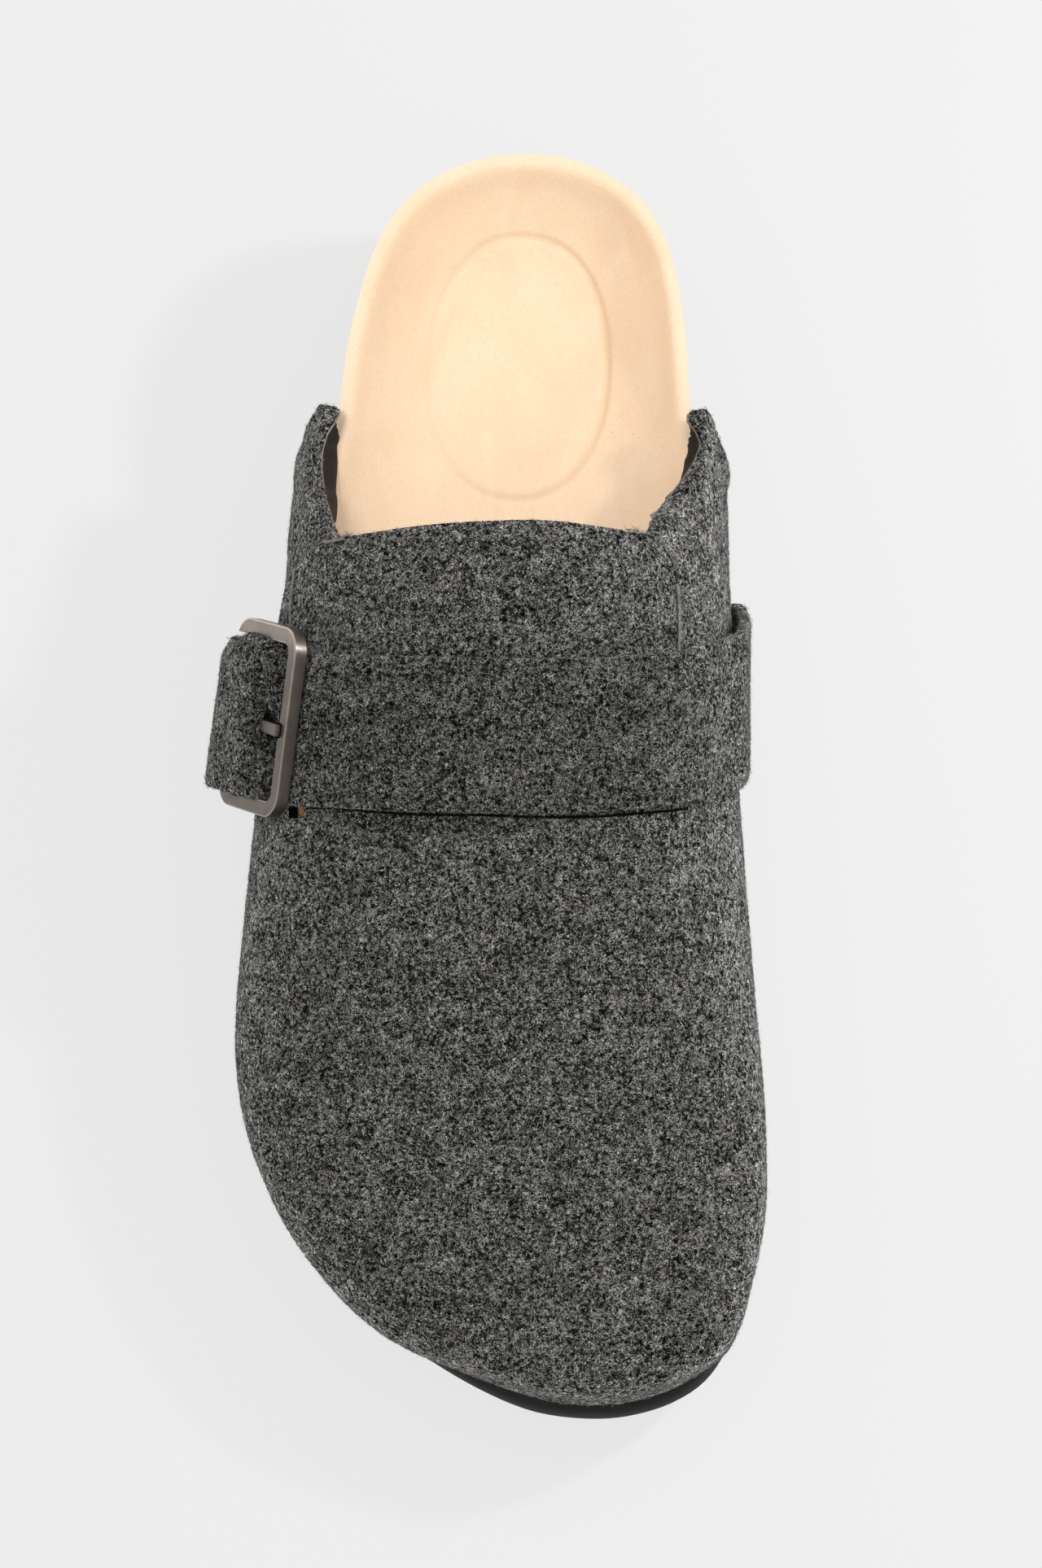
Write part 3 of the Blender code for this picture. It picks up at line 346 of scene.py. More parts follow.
def subdivide(piece, levels):
    """Subdivision surface whose cage is moved out until the surface passes through the CAD corners."""
    mesh = piece.data
    wanted = places_of(mesh)
    cage = wanted.copy()
    smooth = piece.modifiers.new("smooth", "SUBSURF")
    smooth.levels = smooth.render_levels = 1
    for _ in range(CAGE_ROUNDS):
        shown = piece.evaluated_get(bpy.context.evaluated_depsgraph_get()).data
        cage += wanted - places_of(shown)[: len(wanted)]
        mesh.vertices.foreach_set("co", cage.ravel())
        mesh.update()
    smooth.levels = smooth.render_levels = levels
    make_active(piece)
    bpy.ops.object.modifier_apply(modifier=smooth.name)


def shade_smooth(piece, angle):
    make_active(piece)
    bpy.ops.object.shade_smooth_by_angle(angle=angle)


def ripple(piece, waves):
    """Uneven felt: soft waves along the surface's own direction."""
    for size, height in waves:
        texture = bpy.data.textures.new(f"{piece.name}_wave", "CLOUDS")
        texture.noise_scale = size
        texture.noise_depth = 1
        apply(
            piece, "DISPLACE", texture=texture, texture_coords="LOCAL", strength=height, mid_level=0.5
        )


def dress(piece, replaced):
    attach(piece, "root")
    if replaced:
        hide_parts(replaced)


# Shader nodes


def new_material(name):
    made = bpy.data.materials.new(name)
    made.use_nodes = True
    return made, made.node_tree, made.node_tree.nodes["Principled BSDF"]


def node(tree, kind, settings=None, **inputs):
    made = tree.nodes.new("ShaderNode" + kind)
    for key, value in (settings or {}).items():
        setattr(made, key, value)
    for key, value in inputs.items():
        feed(tree, made.inputs[key.replace("_", " ")], value)
    return made


def feed(tree, socket, value):
    if isinstance(value, bpy.types.NodeSocket):
        tree.links.new(value, socket)
    else:
        socket.default_value = value


def place_of(tree, turn=(0.0, 0.0, 0.0), shift=(0.0, 0.0, 0.0), stretch=(1.0, 1.0, 1.0)):
    """Object coordinates, turned and shifted so that two patterns don't coincide."""
    coordinates = node(tree, "TexCoord").outputs["Object"]
    mapped = node(tree, "Mapping", Vector=coordinates, Location=shift, Rotation=turn, Scale=stretch)
    return mapped.outputs["Vector"]


def noise(tree, place, scale, detail=2.0, roughness=0.5, distortion=0.0):
    made = node(
        tree,
        "TexNoise",
        Vector=place,
        Scale=scale,
        Detail=detail,
        Roughness=roughness,
        Distortion=distortion,
    )
    return made.outputs[0]


def maths(tree, operation, first, second=0.0, third=0.0):
    made = node(tree, "Math", {"operation": operation})
    for socket, value in zip(made.inputs, (first, second, third)):
        feed(tree, socket, value)
    return made.outputs[0]


def dot(tree, vector, direction):
    made = node(tree, "VectorMath", {"operation": "DOT_PRODUCT"})
    feed(tree, made.inputs[0], vector)
    feed(tree, made.inputs[1], direction)
    return made.outputs["Value"]


def spread(tree, value, low, high, to_low=0.0, to_high=1.0):
    made = node(tree, "MapRange", {"clamp": True}, Value=value)
    for key, number in (("From Min", low), ("From Max", high), ("To Min", to_low), ("To Max", to_high)):
        made.inputs[key].default_value = number
    return made.outputs[0]


def ramp(tree, value, stops):
    made = node(tree, "ValToRGB", Fac=value)
    band = made.color_ramp
    while len(band.elements) < len(stops):
        band.elements.new(0.5)
    for element, (place, colour) in zip(band.elements, stops):
        element.position = place
        element.color = (*colour, 1.0)
    return made.outputs["Color"]


def mix(tree, factor, first, second, blend="MIX"):
    made = node(tree, "Mix", {"data_type": "RGBA", "blend_type": blend})
    for socket, value in zip((made.inputs[0], made.inputs[6], made.inputs[7]), (factor, first, second)):
        feed(tree, socket, value)
    return made.outputs[2]


def bump(tree, shader, height, strength, distance):
    made = node(tree, "Bump", Height=height, Strength=strength, Distance=distance)
    tree.links.new(made.outputs["Normal"], shader.inputs["Normal"])


# Materials


def curled_strands(tree, place, scale, width):
    """Thin curled lines, as of fibres lying in felt: bright where a smooth noise passes its middle."""
    curl = noise(tree, place, scale, 0.0, 0.5, 0.6)
    away = maths(tree, "ABSOLUTE", maths(tree, "SUBTRACT", curl, 0.5))
    line = spread(tree, away, 0.0, width, 1.0, 0.0)
    shown = spread(tree, noise(tree, place, scale * 0.45, 1.0), *STRANDS_SHOWN)
    return maths(tree, "MULTIPLY", line, shown)


def felt_material(name, lightness):
    """Heather wool felt: light curled fibres over a dark ground, matted in blotches, painted lighter where
    seen at a grazing angle as a painted sheen.
    """
    made, tree, shader = new_material(name)
    plain = place_of(tree)
    turned = place_of(tree, turn=(0.6, 1.1, 0.4), shift=(0.31, 0.17, 0.05))
    tipped = place_of(tree, turn=(1.3, 0.2, 0.9), shift=(0.12, 0.41, 0.23))
    layers = [curled_strands(tree, place, *strand) for place, strand in zip((plain, turned, tipped), STRANDS)]
    strands = maths(tree, "MAXIMUM", layers[0], maths(tree, "MAXIMUM", layers[1], layers[2]))
    ground = noise(tree, tipped, GROUND_FINENESS, 1.0, 0.5, 0.5)
    blotch = noise(tree, plain, BLOTCH_FINENESS, 2.0, 0.6, 0.4)
    height = maths(tree, "MULTIPLY_ADD", strands, STRAND_PART, maths(tree, "MULTIPLY", ground, GROUND_PART))
    tone = spread(tree, maths(tree, "MULTIPLY_ADD", blotch, BLOTCH_PART, height), *TONE_SPAN)
    stops = [(at, tuple(value * lightness * tint for tint in FELT_TINT)) for at, value in FELT_TONES]
    colour = ramp(tree, tone, stops)
    warm = spread(tree, noise(tree, turned, WARM_FINENESS, 2.0), 0.5, 0.72, 0.0, 0.45)
    colour = mix(tree, warm, colour, WARM_TINT, "MULTIPLY")
    # Painted sheen: the felt lighter where it is seen at a grazing angle
    grazing = node(tree, "LayerWeight", Blend=0.5).outputs["Facing"]
    gain = spread(tree, grazing, GRAZING_FROM, GRAZING_TO, 1.0, GRAZING_SHEEN_GAIN)
    colour = mix(tree, 1.0, colour, gain, "MULTIPLY")
    tree.links.new(colour, shader.inputs["Base Color"])
    shader.inputs["Roughness"].default_value = 1.0
    shader.inputs["Specular IOR Level"].default_value = 0.0
    bump(tree, shader, height, 0.8, 0.3 * MM)
    return made


def lining_material(name, lightness):
    """Thin grey leather lining with a fine grain, scaled by its lightness; the inner lining is painted nearly
    black as shade.
    """
    made, tree, shader = new_material(name)
    place = place_of(tree)
    grain = node(tree, "TexVoronoi", {"feature": "SMOOTH_F1"}, Vector=place, Scale=1300.0).outputs[0]
    patch = noise(tree, place, 150.0, 3.0)
    tone = maths(tree, "MULTIPLY_ADD", patch, 0.6, maths(tree, "MULTIPLY", grain, 0.4))
    stops = ((0.25, (0.070, 0.062, 0.056)), (0.5, (0.098, 0.089, 0.082)), (0.75, (0.135, 0.125, 0.117)))
    stops = tuple((at, tuple(channel * lightness for channel in colour)) for at, colour in stops)
    tree.links.new(ramp(tree, tone, stops), shader.inputs["Base Color"])
    shader.inputs["Roughness"].default_value = 0.7
    shader.inputs["Specular IOR Level"].default_value = 0.3
    bump(tree, shader, grain, 0.3, 0.08 * MM)
    return made


def leather_material(name, colour):
    """Raw leather edge with a fibrous grain; also gives the felt's pale cut lines, and the near-black painted
    shadow strands and painted shade block.
    """
    made, tree, shader = new_material(name)
    grain = noise(tree, place_of(tree), 2200.0, 3.0, 0.6)
    stops = [(at, tuple(channel * gain for channel in colour)) for at, gain in ((0.3, 0.7), (0.7, 1.3))]
    tree.links.new(ramp(tree, grain, stops), shader.inputs["Base Color"])
    shader.inputs["Roughness"].default_value = 0.9
    shader.inputs["Specular IOR Level"].default_value = 0.0
    bump(tree, shader, grain, 0.4, 0.1 * MM)
    return made


def fibre_material():
    """Loose wool fibres, each with a tone of its own from dark to nearly white."""
    made, tree, shader = new_material("loose_fibres")
    tone = node(tree, "Attribute", {"attribute_name": "tone"}).outputs["Fac"]
    stops = (
        (0.0, (0.016, 0.015, 0.014)),
        (0.4, (0.055, 0.053, 0.049)),
        (0.7, (0.16, 0.156, 0.148)),
        (1.0, (0.46, 0.45, 0.43)),
    )
    tree.links.new(ramp(tree, tone, stops), shader.inputs["Base Color"])
    shader.inputs["Roughness"].default_value = 0.8
    shader.inputs["Specular IOR Level"].default_value = 0.2
    return made


def suede_material():
    """Tan suede with a short nap, brushed patches and pin specks; the rolled rim is painted paler as a
    painted highlight on its top, and the pressed groove painted darker as a painted shade.
    """
    made, tree, shader = new_material("tan_suede")
    place = place_of(tree)
    nap = noise(tree, place, 1700.0, 3.0, 0.62, 0.5)
    brushed = noise(tree, place_of(tree, stretch=(1.0, 0.45, 1.0)), 85.0, 3.0, 0.55, 0.7)
    tone = maths(tree, "MULTIPLY_ADD", brushed, 0.5, maths(tree, "MULTIPLY", nap, 0.5))
    stops = (
        (0.3, (0.735, 0.525, 0.345)),
        (0.5, (0.785, 0.582, 0.405)),
        (0.7, (0.82, 0.64, 0.46)),
    )
    colour = ramp(tree, tone, stops)
    specks = noise(tree, place_of(tree, turn=(0.3, 0.8, 0.2)), 1700.0, 1.0)
    colour = mix(
        tree, spread(tree, specks, 0.70, 0.78, 0.0, 0.4), colour, (0.50, 0.27, 0.16, 1.0)
    )
    # Painted highlight: the rolled rim paler
    rim = node(tree, "Attribute", {"attribute_name": "rim"}).outputs["Fac"]
    colour = mix(tree, maths(tree, "MULTIPLY", rim, 0.55), colour, (0.80, 0.60, 0.46, 1.0))
    # Painted shade: the pressed groove darker and browner
    pressed = node(tree, "Attribute", {"attribute_name": "pressed"}).outputs["Fac"]
    colour = mix(tree, maths(tree, "MULTIPLY", pressed, 0.45), colour, (0.62, 0.40, 0.23, 1.0))
    tree.links.new(colour, shader.inputs["Base Color"])
    shader.inputs["Roughness"].default_value = 0.95
    shader.inputs["Specular IOR Level"].default_value = 0.2
    shader.inputs["Sheen Weight"].default_value = 0.12
    shader.inputs["Sheen Roughness"].default_value = 0.4
    shader.inputs["Sheen Tint"].default_value = (1.0, 0.86, 0.7, 1.0)
    bump(tree, shader, nap, 0.35, 0.16 * MM)
    return made


def cork_material():
    """Pressed cork: granules of mixed browns with dark seams between them."""
    made, tree, shader = new_material("pressed_cork")
    place = place_of(tree)
    cells = node(tree, "TexVoronoi", {"feature": "F1"}, Vector=place, Scale=520.0)
    seams = node(tree, "TexVoronoi", {"feature": "DISTANCE_TO_EDGE"}, Vector=place, Scale=520.0)
    grain = noise(tree, place, 1900.0, 2.0)
    shade = node(tree, "SeparateColor", Color=cells.outputs["Color"]).outputs[0]
    tone = maths(tree, "MULTIPLY_ADD", grain, 0.35, maths(tree, "MULTIPLY", shade, 0.65))
    stops = ((0.1, (0.20, 0.105, 0.048)), (0.45, (0.40, 0.24, 0.12)), (0.85, (0.58, 0.385, 0.215)))
    colour = ramp(tree, tone, stops)
    gap = spread(tree, seams.outputs["Distance"], 0.0, 0.09, 0.75, 0.0)
    colour = mix(tree, gap, colour, (0.11, 0.055, 0.026, 1.0))
    tree.links.new(colour, shader.inputs["Base Color"])
    shader.inputs["Roughness"].default_value = 0.85
    bump(tree, shader, maths(tree, "SUBTRACT", grain, gap), 0.5, 0.25 * MM)
    return made


def sole_material():
    """Black foamed sole with a fine pebbled skin and scuffed patches."""
    made, tree, shader = new_material("black_sole")
    place = place_of(tree)
    pebble = node(tree, "TexVoronoi", {"feature": "SMOOTH_F1"}, Vector=place, Scale=1150.0).outputs[0]
    scuff = noise(tree, place, 210.0, 4.0, 0.65)
    stops = ((0.35, (0.011, 0.0105, 0.0105)), (0.6, (0.019, 0.0185, 0.018)), (0.8, (0.036, 0.034, 0.033)))
    tree.links.new(ramp(tree, scuff, stops), shader.inputs["Base Color"])
    tree.links.new(spread(tree, scuff, 0.3, 0.7, 0.62, 0.82), shader.inputs["Roughness"])
    bump(tree, shader, pebble, 0.4, 0.2 * MM)
    return made


def metal_material(name, lightness, roughness):
    """Gunmetal with a satin, lightly tumbled skin; its sides are painted darker, a painted shade, and its
    heel-side arm paler, a painted highlight.
    """
    made, tree, shader = new_material(name)
    place = place_of(tree)
    grain = noise(tree, place, 2600.0, 3.0, 0.6)
    cloud = noise(tree, place, 230.0, 3.0, 0.6)
    stops = ((0.3, (0.150, 0.128, 0.112)), (0.7, (0.200, 0.172, 0.152)))
    colour = ramp(tree, cloud, [(at, tuple(channel * lightness for channel in tone)) for at, tone in stops])
    # Painted shade on the sides and painted highlight on the heel-side arm
    normal = node(tree, "NewGeometry").outputs["Normal"]
    upright = spread(tree, dot(tree, normal, BUCKLE_OVER), 0.1, 0.95, SIDE_SHADE_GAIN, 1.0)
    middle = Vector(BUCKLE_ORIGIN).dot(Vector(BUCKLE_ACROSS))
    across = dot(tree, place, BUCKLE_ACROSS)
    arm = spread(tree, across, (ARM_TO + middle) * MM, (ARM_FROM + middle) * MM, ARM_HIGHLIGHT_GAIN, 1.0)
    colour = mix(tree, 1.0, colour, maths(tree, "MULTIPLY", upright, arm), "MULTIPLY")
    tree.links.new(colour, shader.inputs["Base Color"])
    skin = spread(tree, grain, 0.3, 0.7, roughness - ROUGHNESS_SPREAD, roughness + ROUGHNESS_SPREAD)
    tree.links.new(skin, shader.inputs["Roughness"])
    shader.inputs["Metallic"].default_value = 1.0
    bump(tree, shader, grain, 0.12, 0.05 * MM)
    return made


def floor_material():
    """Pale studio floor, partly lit from below like a light table, so its shadows stay thin."""
    made, tree, shader = new_material("pale_floor")
    shader.inputs["Base Color"].default_value = FLOOR_COLOUR
    shader.inputs["Roughness"].default_value = 0.9
    shader.inputs["Specular IOR Level"].default_value = 0.0
    shader.inputs["Emission Color"].default_value = (1.0, 1.0, 1.0, 1.0)
    shader.inputs["Emission Strength"].default_value = FLOOR_GLOW
    return made


# Felt pieces


def mark_upper_faces(piece):
    """Slots of the upper's faces: outer felt, cut edges, and the lining on what looks inwards."""
    trees = [tree_of(item) for item in (piece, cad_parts["insole"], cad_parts["footbed"])]
    edges = sharp_sides(piece, SHARP_ANGLE)
    for face in piece.data.polygons:
        start = face.center + face.normal * LOOK_START
        reaches = [tree.ray_cast(start, face.normal, ACROSS_FOOT)[3] for tree in trees]
        if edges[face.index] > 1:
            face.material_index = CUT_EDGE
        elif any(reach and reach > least for reach, least in zip(reaches, LINING_REACH)):
            face.material_index = LINING


def mark_cut_edges(piece):
    """Slots of a sheet's faces: its broad sides, and the cut edges between two sharp sides."""
    edges = sharp_sides(piece, SHARP_ANGLE)
    for face in piece.data.polygons:
        face.material_index = CUT_EDGE if edges[face.index] > 1 else OUTER_FELT


def felt_piece(node_name, name, skins, levels):
    piece = copy_of(node_name, name)
    for skin in skins:
        piece.data.materials.append(skin)
    if node_name == "upper":
        mark_upper_faces(piece)
    else:
        mark_cut_edges(piece)
    crease_sharp(piece, SHARP_ANGLE, FELT_CREASE)
    subdivide(piece, levels)
    if node_name == "upper":
        bow_quarters(piece)
    ripple(piece, FELT_WAVES)
    shade_smooth(piece, FELT_SHADING)
    dress(piece, node_name)
    return piece


def surface_samples(carrier, count, draw, covers):
    """Random places on the carrier's shown faces, with normals, none of them under a cover."""
    mesh = carrier.data
    mesh.calc_loop_triangles()
    corners = np.empty(len(mesh.loop_triangles) * 3, np.int32)
    mesh.loop_triangles.foreach_get("vertices", corners)
    kinds = np.array([tri.material_index for tri in mesh.loop_triangles])
    corners = corners.reshape(-1, 3)[np.isin(kinds, (OUTER_FELT, CUT_EDGE))]
    co = places_of(mesh)
    normal = normals_of(mesh)
    first, second, third = (co[corners[:, k]] for k in range(3))
    area = np.linalg.norm(np.cross(second - first, third - first), axis=1)
    chosen = draw.choice(len(corners), count, p=area / area.sum())
    shares = draw.random((count, 2))
    over = shares.sum(1) > 1.0
    shares[over] = 1.0 - shares[over]
    shares = np.column_stack([1.0 - shares.sum(1), shares])
    places = sum(shares[:, k, None] * co[corners[chosen, k]] for k in range(3))
    normals = sum(shares[:, k, None] * normal[corners[chosen, k]] for k in range(3))
    normals /= np.linalg.norm(normals, axis=1, keepdims=True)
    if not covers:
        return places, normals
    shown = []
    for place, out in zip(places, normals):
        start = Vector(place + out * COVER_START)
        shown.append(all(tree.ray_cast(start, Vector(out), COVER_REACH)[0] is None for tree in covers))
    return places[shown], normals[shown]


def tree_of(piece):
    places = [vert.co for vert in piece.data.vertices]
    return BVHTree.FromPolygons(places, [list(face.vertices) for face in piece.data.polygons])


def fuzz_piece(name, carrier, kind, count, seed, skin, covers=()):
    """Wool fibres on a felt piece, each a thin closed spindle bent once."""
    draw = np.random.default_rng(seed)
    places, normals = surface_samples(carrier, count, draw, covers)
    count = len(places)
    aside = draw.normal(size=(count, 3))
    aside -= normals * (aside * normals).sum(1, keepdims=True)
    aside /= np.linalg.norm(aside, axis=1, keepdims=True)
    across = np.cross(normals, aside)
    length = draw.uniform(*kind.length, (count, 1))
    lift = kind.lift[0] + (kind.lift[1] - kind.lift[0]) * draw.random((count, 1)) ** 2
    curl = draw.uniform(-kind.curl, kind.curl, (count, 1))
    radius = draw.uniform(*kind.radius, (count, 1))
    run = np.sqrt(1.0 - lift**2)
    start = places - normals * FIBRE_ROOT
    middle = places + length * (0.5 * run * aside + curl * across + (0.5 * lift + FIBRE_BOW) * normals)
    finish = places + length * (run * aside + lift * normals) - normals * FIBRE_ROOT
    ring = []
    for step in range(FIBRE_SIDES):
        angle = 2 * math.pi * step / FIBRE_SIDES
        ring.append(middle + radius * (math.cos(angle) * across + math.sin(angle) * normals))
    points = np.stack([start, *ring, finish], axis=1).reshape(-1, 3)
    spindle = [(0, 2, 1), (0, 3, 2), (0, 1, 3), (4, 1, 2), (4, 2, 3), (4, 3, 1)]
    faces = (np.arange(count)[:, None, None] * 5 + np.array(spindle)[None]).reshape(-1, 3)
    mesh = bpy.data.meshes.new(name)
    mesh.from_pydata(points.tolist(), [], faces.tolist())
    tone = np.repeat(draw.beta(*kind.tone, count), 5)
    mesh.attributes.new("tone", "FLOAT", "POINT").data.foreach_set("value", tone.astype(np.float32))
    mesh.materials.append(skin)
    piece = bpy.data.objects.new(name, mesh)
    bpy.context.scene.collection.objects.link(piece)
    dress(piece, None)
    return piece


def point_tree(places):
    tree = KDTree(len(places))
    for index, place in enumerate(places):
        tree.insert(place, index)
    tree.balance()
    return tree


def edge_places(mesh, slots):
    """Places on the edges between the faces of two slots."""
    return [mesh.vertices[key[0]].co for key in boundary_edges(mesh, slots)]


def edge_tree(mesh, slots, from_y):
    """Search tree of the places on the edges between two slots, behind a place along the foot."""
    return point_tree([place for place in edge_places(mesh, slots) if place.y > from_y])


def side_of(place):
    """Side of the foot: 1 on the inner side, -1 on the outer one."""
    return 1 if place.x > 0.0 else -1


def shift_at(shifts, place):
    """Sideways shift at a place, by its side of the foot and its place along it."""
    side = side_of(place)
    return side * MM * float(np.interp(place.y / MM, *shifts[side], left=0.0))


def top_line(mesh):
    """Heights of the quarters' top edge for each side, by millimetres along the foot."""
    tops = {-1: {}, 1: {}}
    for place in edge_places(mesh, (CUT_EDGE, LINING)):
        heights = tops[side_of(place)]
        middle = round(place.y / MM)
        for mark in range(middle - TOP_LINE_REACH, middle + TOP_LINE_REACH + 1):
            heights[mark] = max(heights.get(mark, 0.0), place.z)
    return {side: tuple(zip(*sorted(heights.items()))) for side, heights in tops.items()}


def top_height(tops, place):
    return float(np.interp(place.y / MM, *tops[side_of(place)]))


def bow_quarters(upper):
    """Bows the quarters' top edges out from the footbed, with their rear ends and lining turned in to it."""
    mesh = upper.data
    from_y = QUARTER_SHIFTS[-1][0][0] * MM
    inner = edge_tree(mesh, (CUT_EDGE, LINING), from_y)
    outer = edge_tree(mesh, (OUTER_FELT, CUT_EDGE), from_y)
    lining = {index for face in mesh.polygons if face.material_index == LINING for index in face.vertices}
    tops = top_line(mesh)
    moves = {}
    for vert in mesh.vertices:
        if vert.co.y < from_y or abs(vert.co.x) < SIDE_FROM:
            continue
        to_inner, to_outer = inner.find(vert.co)[2], outer.find(vert.co)[2]
        share = 1.0 if vert.index in lining else to_outer / max(to_inner + to_outer, MERGE)
        near = smooth_step(1.0 - min(to_inner, to_outer) / QUARTER_REACH)
        shift = shift_at(QUARTER_SHIFTS, vert.co)
        outward = shift * vert.co.x > 0.0
        moves[vert.index] = shift * near * (0.5 + 0.5 * share if outward else share)
        if vert.index in lining:
            depth = min(top_height(tops, vert.co) - vert.co.z, to_inner * REAR_END_FADE)
            tuck = LINING_TUCK * smooth_step((depth - LINING_TUCK_FROM) / LINING_TUCK_DEPTH)
            tuck *= smooth_step((vert.co.y - from_y) / LINING_TUCK_FADE)
            moves[vert.index] -= math.copysign(tuck, vert.co.x)
    for index, move in moves.items():
        mesh.vertices[index].co.x += move


def shift_sides(piece, shifts):
    """Moves a sole piece's sides in or out by the shifts along the foot."""
    for vert in piece.data.vertices:
        out = smooth_step((abs(vert.co.x) - SIDE_FROM) / (SIDE_FULL - SIDE_FROM))
        vert.co.x += shift_at(shifts, vert.co) * out


def inset_outer_toe(piece):
    """Draws the sole in under the felt along the outer side of the toe."""
    for vert in piece.data.vertices:
        away = vert.co.xy - TOE_CENTRE
        angle = math.degrees(math.atan2(away.y, away.x)) % 360.0
        share = float(np.interp(angle, TOE_ANGLES, (0.0, 1.0, 1.0, 0.0)))
        inward = away.normalized() * TOE_INSET * share * smooth_step(away.length / SIDE_FULL)
        vert.co.xy -= inward


def boundary_edges(mesh, slots):
    """Edges between the faces of two slots."""
    found = []
    for key, pair in faces_by_edge(mesh).items():
        if len(pair) == 2 and {face.material_index for face in pair} == set(slots):
            found.append(key)
    return found


def thicken(piece, radius, skin):
    """Turns a curve into a thin round strand of felt or lining."""
    piece.data.bevel_depth = radius
    piece.data.bevel_resolution = 1
    piece.data.use_fill_caps = True
    make_active(piece)
    bpy.ops.object.convert(target="MESH")
    piece = bpy.context.object
    piece.data.materials.clear()
    piece.data.materials.append(skin)
    dress(piece, None)
    return piece


def edge_strand(carrier, name, keys, radius, skin):
    """A thin round strand along the carrier's chosen edges."""
    make_active(carrier)
    bpy.ops.object.mode_set(mode="EDIT")
    bpy.ops.mesh.select_mode(type="EDGE")
    bpy.ops.mesh.select_all(action="DESELECT")
    bpy.ops.object.mode_set(mode="OBJECT")
    for edge in carrier.data.edges:
        edge.select = edge.key in keys
    bpy.ops.object.mode_set(mode="EDIT")
    bpy.ops.mesh.duplicate()
    bpy.ops.mesh.separate(type="SELECTED")
    bpy.ops.object.mode_set(mode="OBJECT")
    piece = next(item for item in bpy.context.selected_objects if item is not carrier)
    piece.name = name
    make_active(piece)
    bpy.ops.object.convert(target="CURVE")
    return thicken(piece, radius, skin)


def rounded_path(points, steps):
    """Catmull-Rom path through the points."""
    points = [Vector(point) * MM for point in points]
    points = [2 * points[0] - points[1], *points, 2 * points[-1] - points[-2]]
    path = []
    for step in range(steps + 1):
        along = step / steps * (len(points) - 3)
        start = min(int(along), len(points) - 4)
        t = along - start
        before, first, second, after = points[start : start + 4]
        bend = (2 * before - 5 * first + 4 * second - after) * t**2
        twist = (3 * first - before - 3 * second + after) * t**3
        path.append(0.5 * (2 * first + (second - before) * t + bend + twist))
    return path


def laid_line(name, points, carrier, radius, outward, lift, skin):
    """A thin strand laid on the carrier along a path, shifted away from the flap's middle."""
    tree = tree_of(carrier)
    spline = bpy.data.curves.new(name, "CURVE")
    spline.dimensions = "3D"
    path = rounded_path(points, LINE_STEPS)
    run = spline.splines.new("POLY")
    run.points.add(len(path) - 1)
    for point, place in zip(run.points, path):
        away = (place - FLAP_MIDDLE).normalized()
        place, normal, _, _ = tree.find_nearest(place + away * outward)
        point.co = (*(place + normal * lift), 1.0)
    piece = bpy.data.objects.new(name, spline)
    bpy.context.scene.collection.objects.link(piece)
    return thicken(piece, radius, skin)


def flap_lines(upper, pale, dark, fibres):
    """The flap's cut edge down both sides: a paler fuzzy line, with a dark strand beside it as the painted
    shadow of the step.
    """
    for number, (side, points) in enumerate((("outer", FLAP_OUTER_SIDE), ("inner", FLAP_INNER_SIDE))):
        line = laid_line(f"flap_{side}_line", points, upper, FLAP_LINE, 0.0, FLAP_LINE_LIFT, pale)
        laid_line(f"flap_{side}_step", points, upper, FLAP_SHADE, FLAP_SHADE_OUT, 0.0, dark)
        fuzz_piece(f"flap_{side}_fibres", line, LYING, FLAP_LINE_FIBRES, FLAP_FIBRES_SEED + number, fibres)


def lining_strand(upper, skin):
    """The lining's thin edge along the quarters' top line."""
    keys = set()
    for key in boundary_edges(upper.data, (CUT_EDGE, LINING)):
        middle = (upper.data.vertices[key[0]].co + upper.data.vertices[key[1]].co) / 2
        if middle.y > LINING_LINE_FROM_Y and middle.z > LINING_LINE_LOW_Z:
            keys.add(key)
    return edge_strand(upper, "lining_edge_line", keys, LINING_LINE, skin)


def rear_line(strap):
    """Search tree of the places on the strap's rear edge."""
    edges = [face for face in strap.data.polygons if face.material_index == CUT_EDGE]
    return point_tree([face.center for face in edges if face.normal.y > FACES_REAR])


def press_rear_edge(strap, upper):
    """Lets the strap's rear edge lie down on the flap."""
    tree = tree_of(upper)
    line = rear_line(strap)
    for vert in strap.data.vertices:
        away = line.find(vert.co)[2]
        fade = smooth_step((PRESS_FROM_X - vert.co.x) / PRESS_FADE)
        drop = PRESS_DEPTH * fade * smooth_step(1.0 - away / PRESS_RUN)
        if drop > 0.0:
            _, normal, _, height = tree.find_nearest(vert.co)
            vert.co -= normal * min(drop, max(height - HUG_REST, 0.0))


def widen_tail(strap):
    """Brings the strap's tail up to the buckle's upper arm."""
    line = rear_line(strap)
    for vert in strap.data.vertices:
        away = line.find(vert.co)[2]
        inside = smooth_step((vert.co.x - TAIL_SPAN[0]) / TAIL_FADE)
        inside *= smooth_step((TAIL_SPAN[1] - vert.co.x) / TAIL_FADE)
        vert.co.y += TAIL_WIDEN * inside * smooth_step(1.0 - away / TAIL_REACH)


def hug_prong(strap, prong):
    """Closes the strap's hole round the prong."""
    tree = tree_of(prong)
    for vert in strap.data.vertices:
        place, _, _, gap = tree.find_nearest(vert.co, HUG_REACH)
        if place is None:
            continue
        if gap < HUG_GAP:
            share = HUG_REST / HUG_GAP
        else:
            open_share = (gap - HUG_GAP) / (HUG_REACH - HUG_GAP)
            share = (HUG_REST + (HUG_REACH - HUG_REST) * open_share) / gap
        vert.co = place + (vert.co - place) * share


# Insole


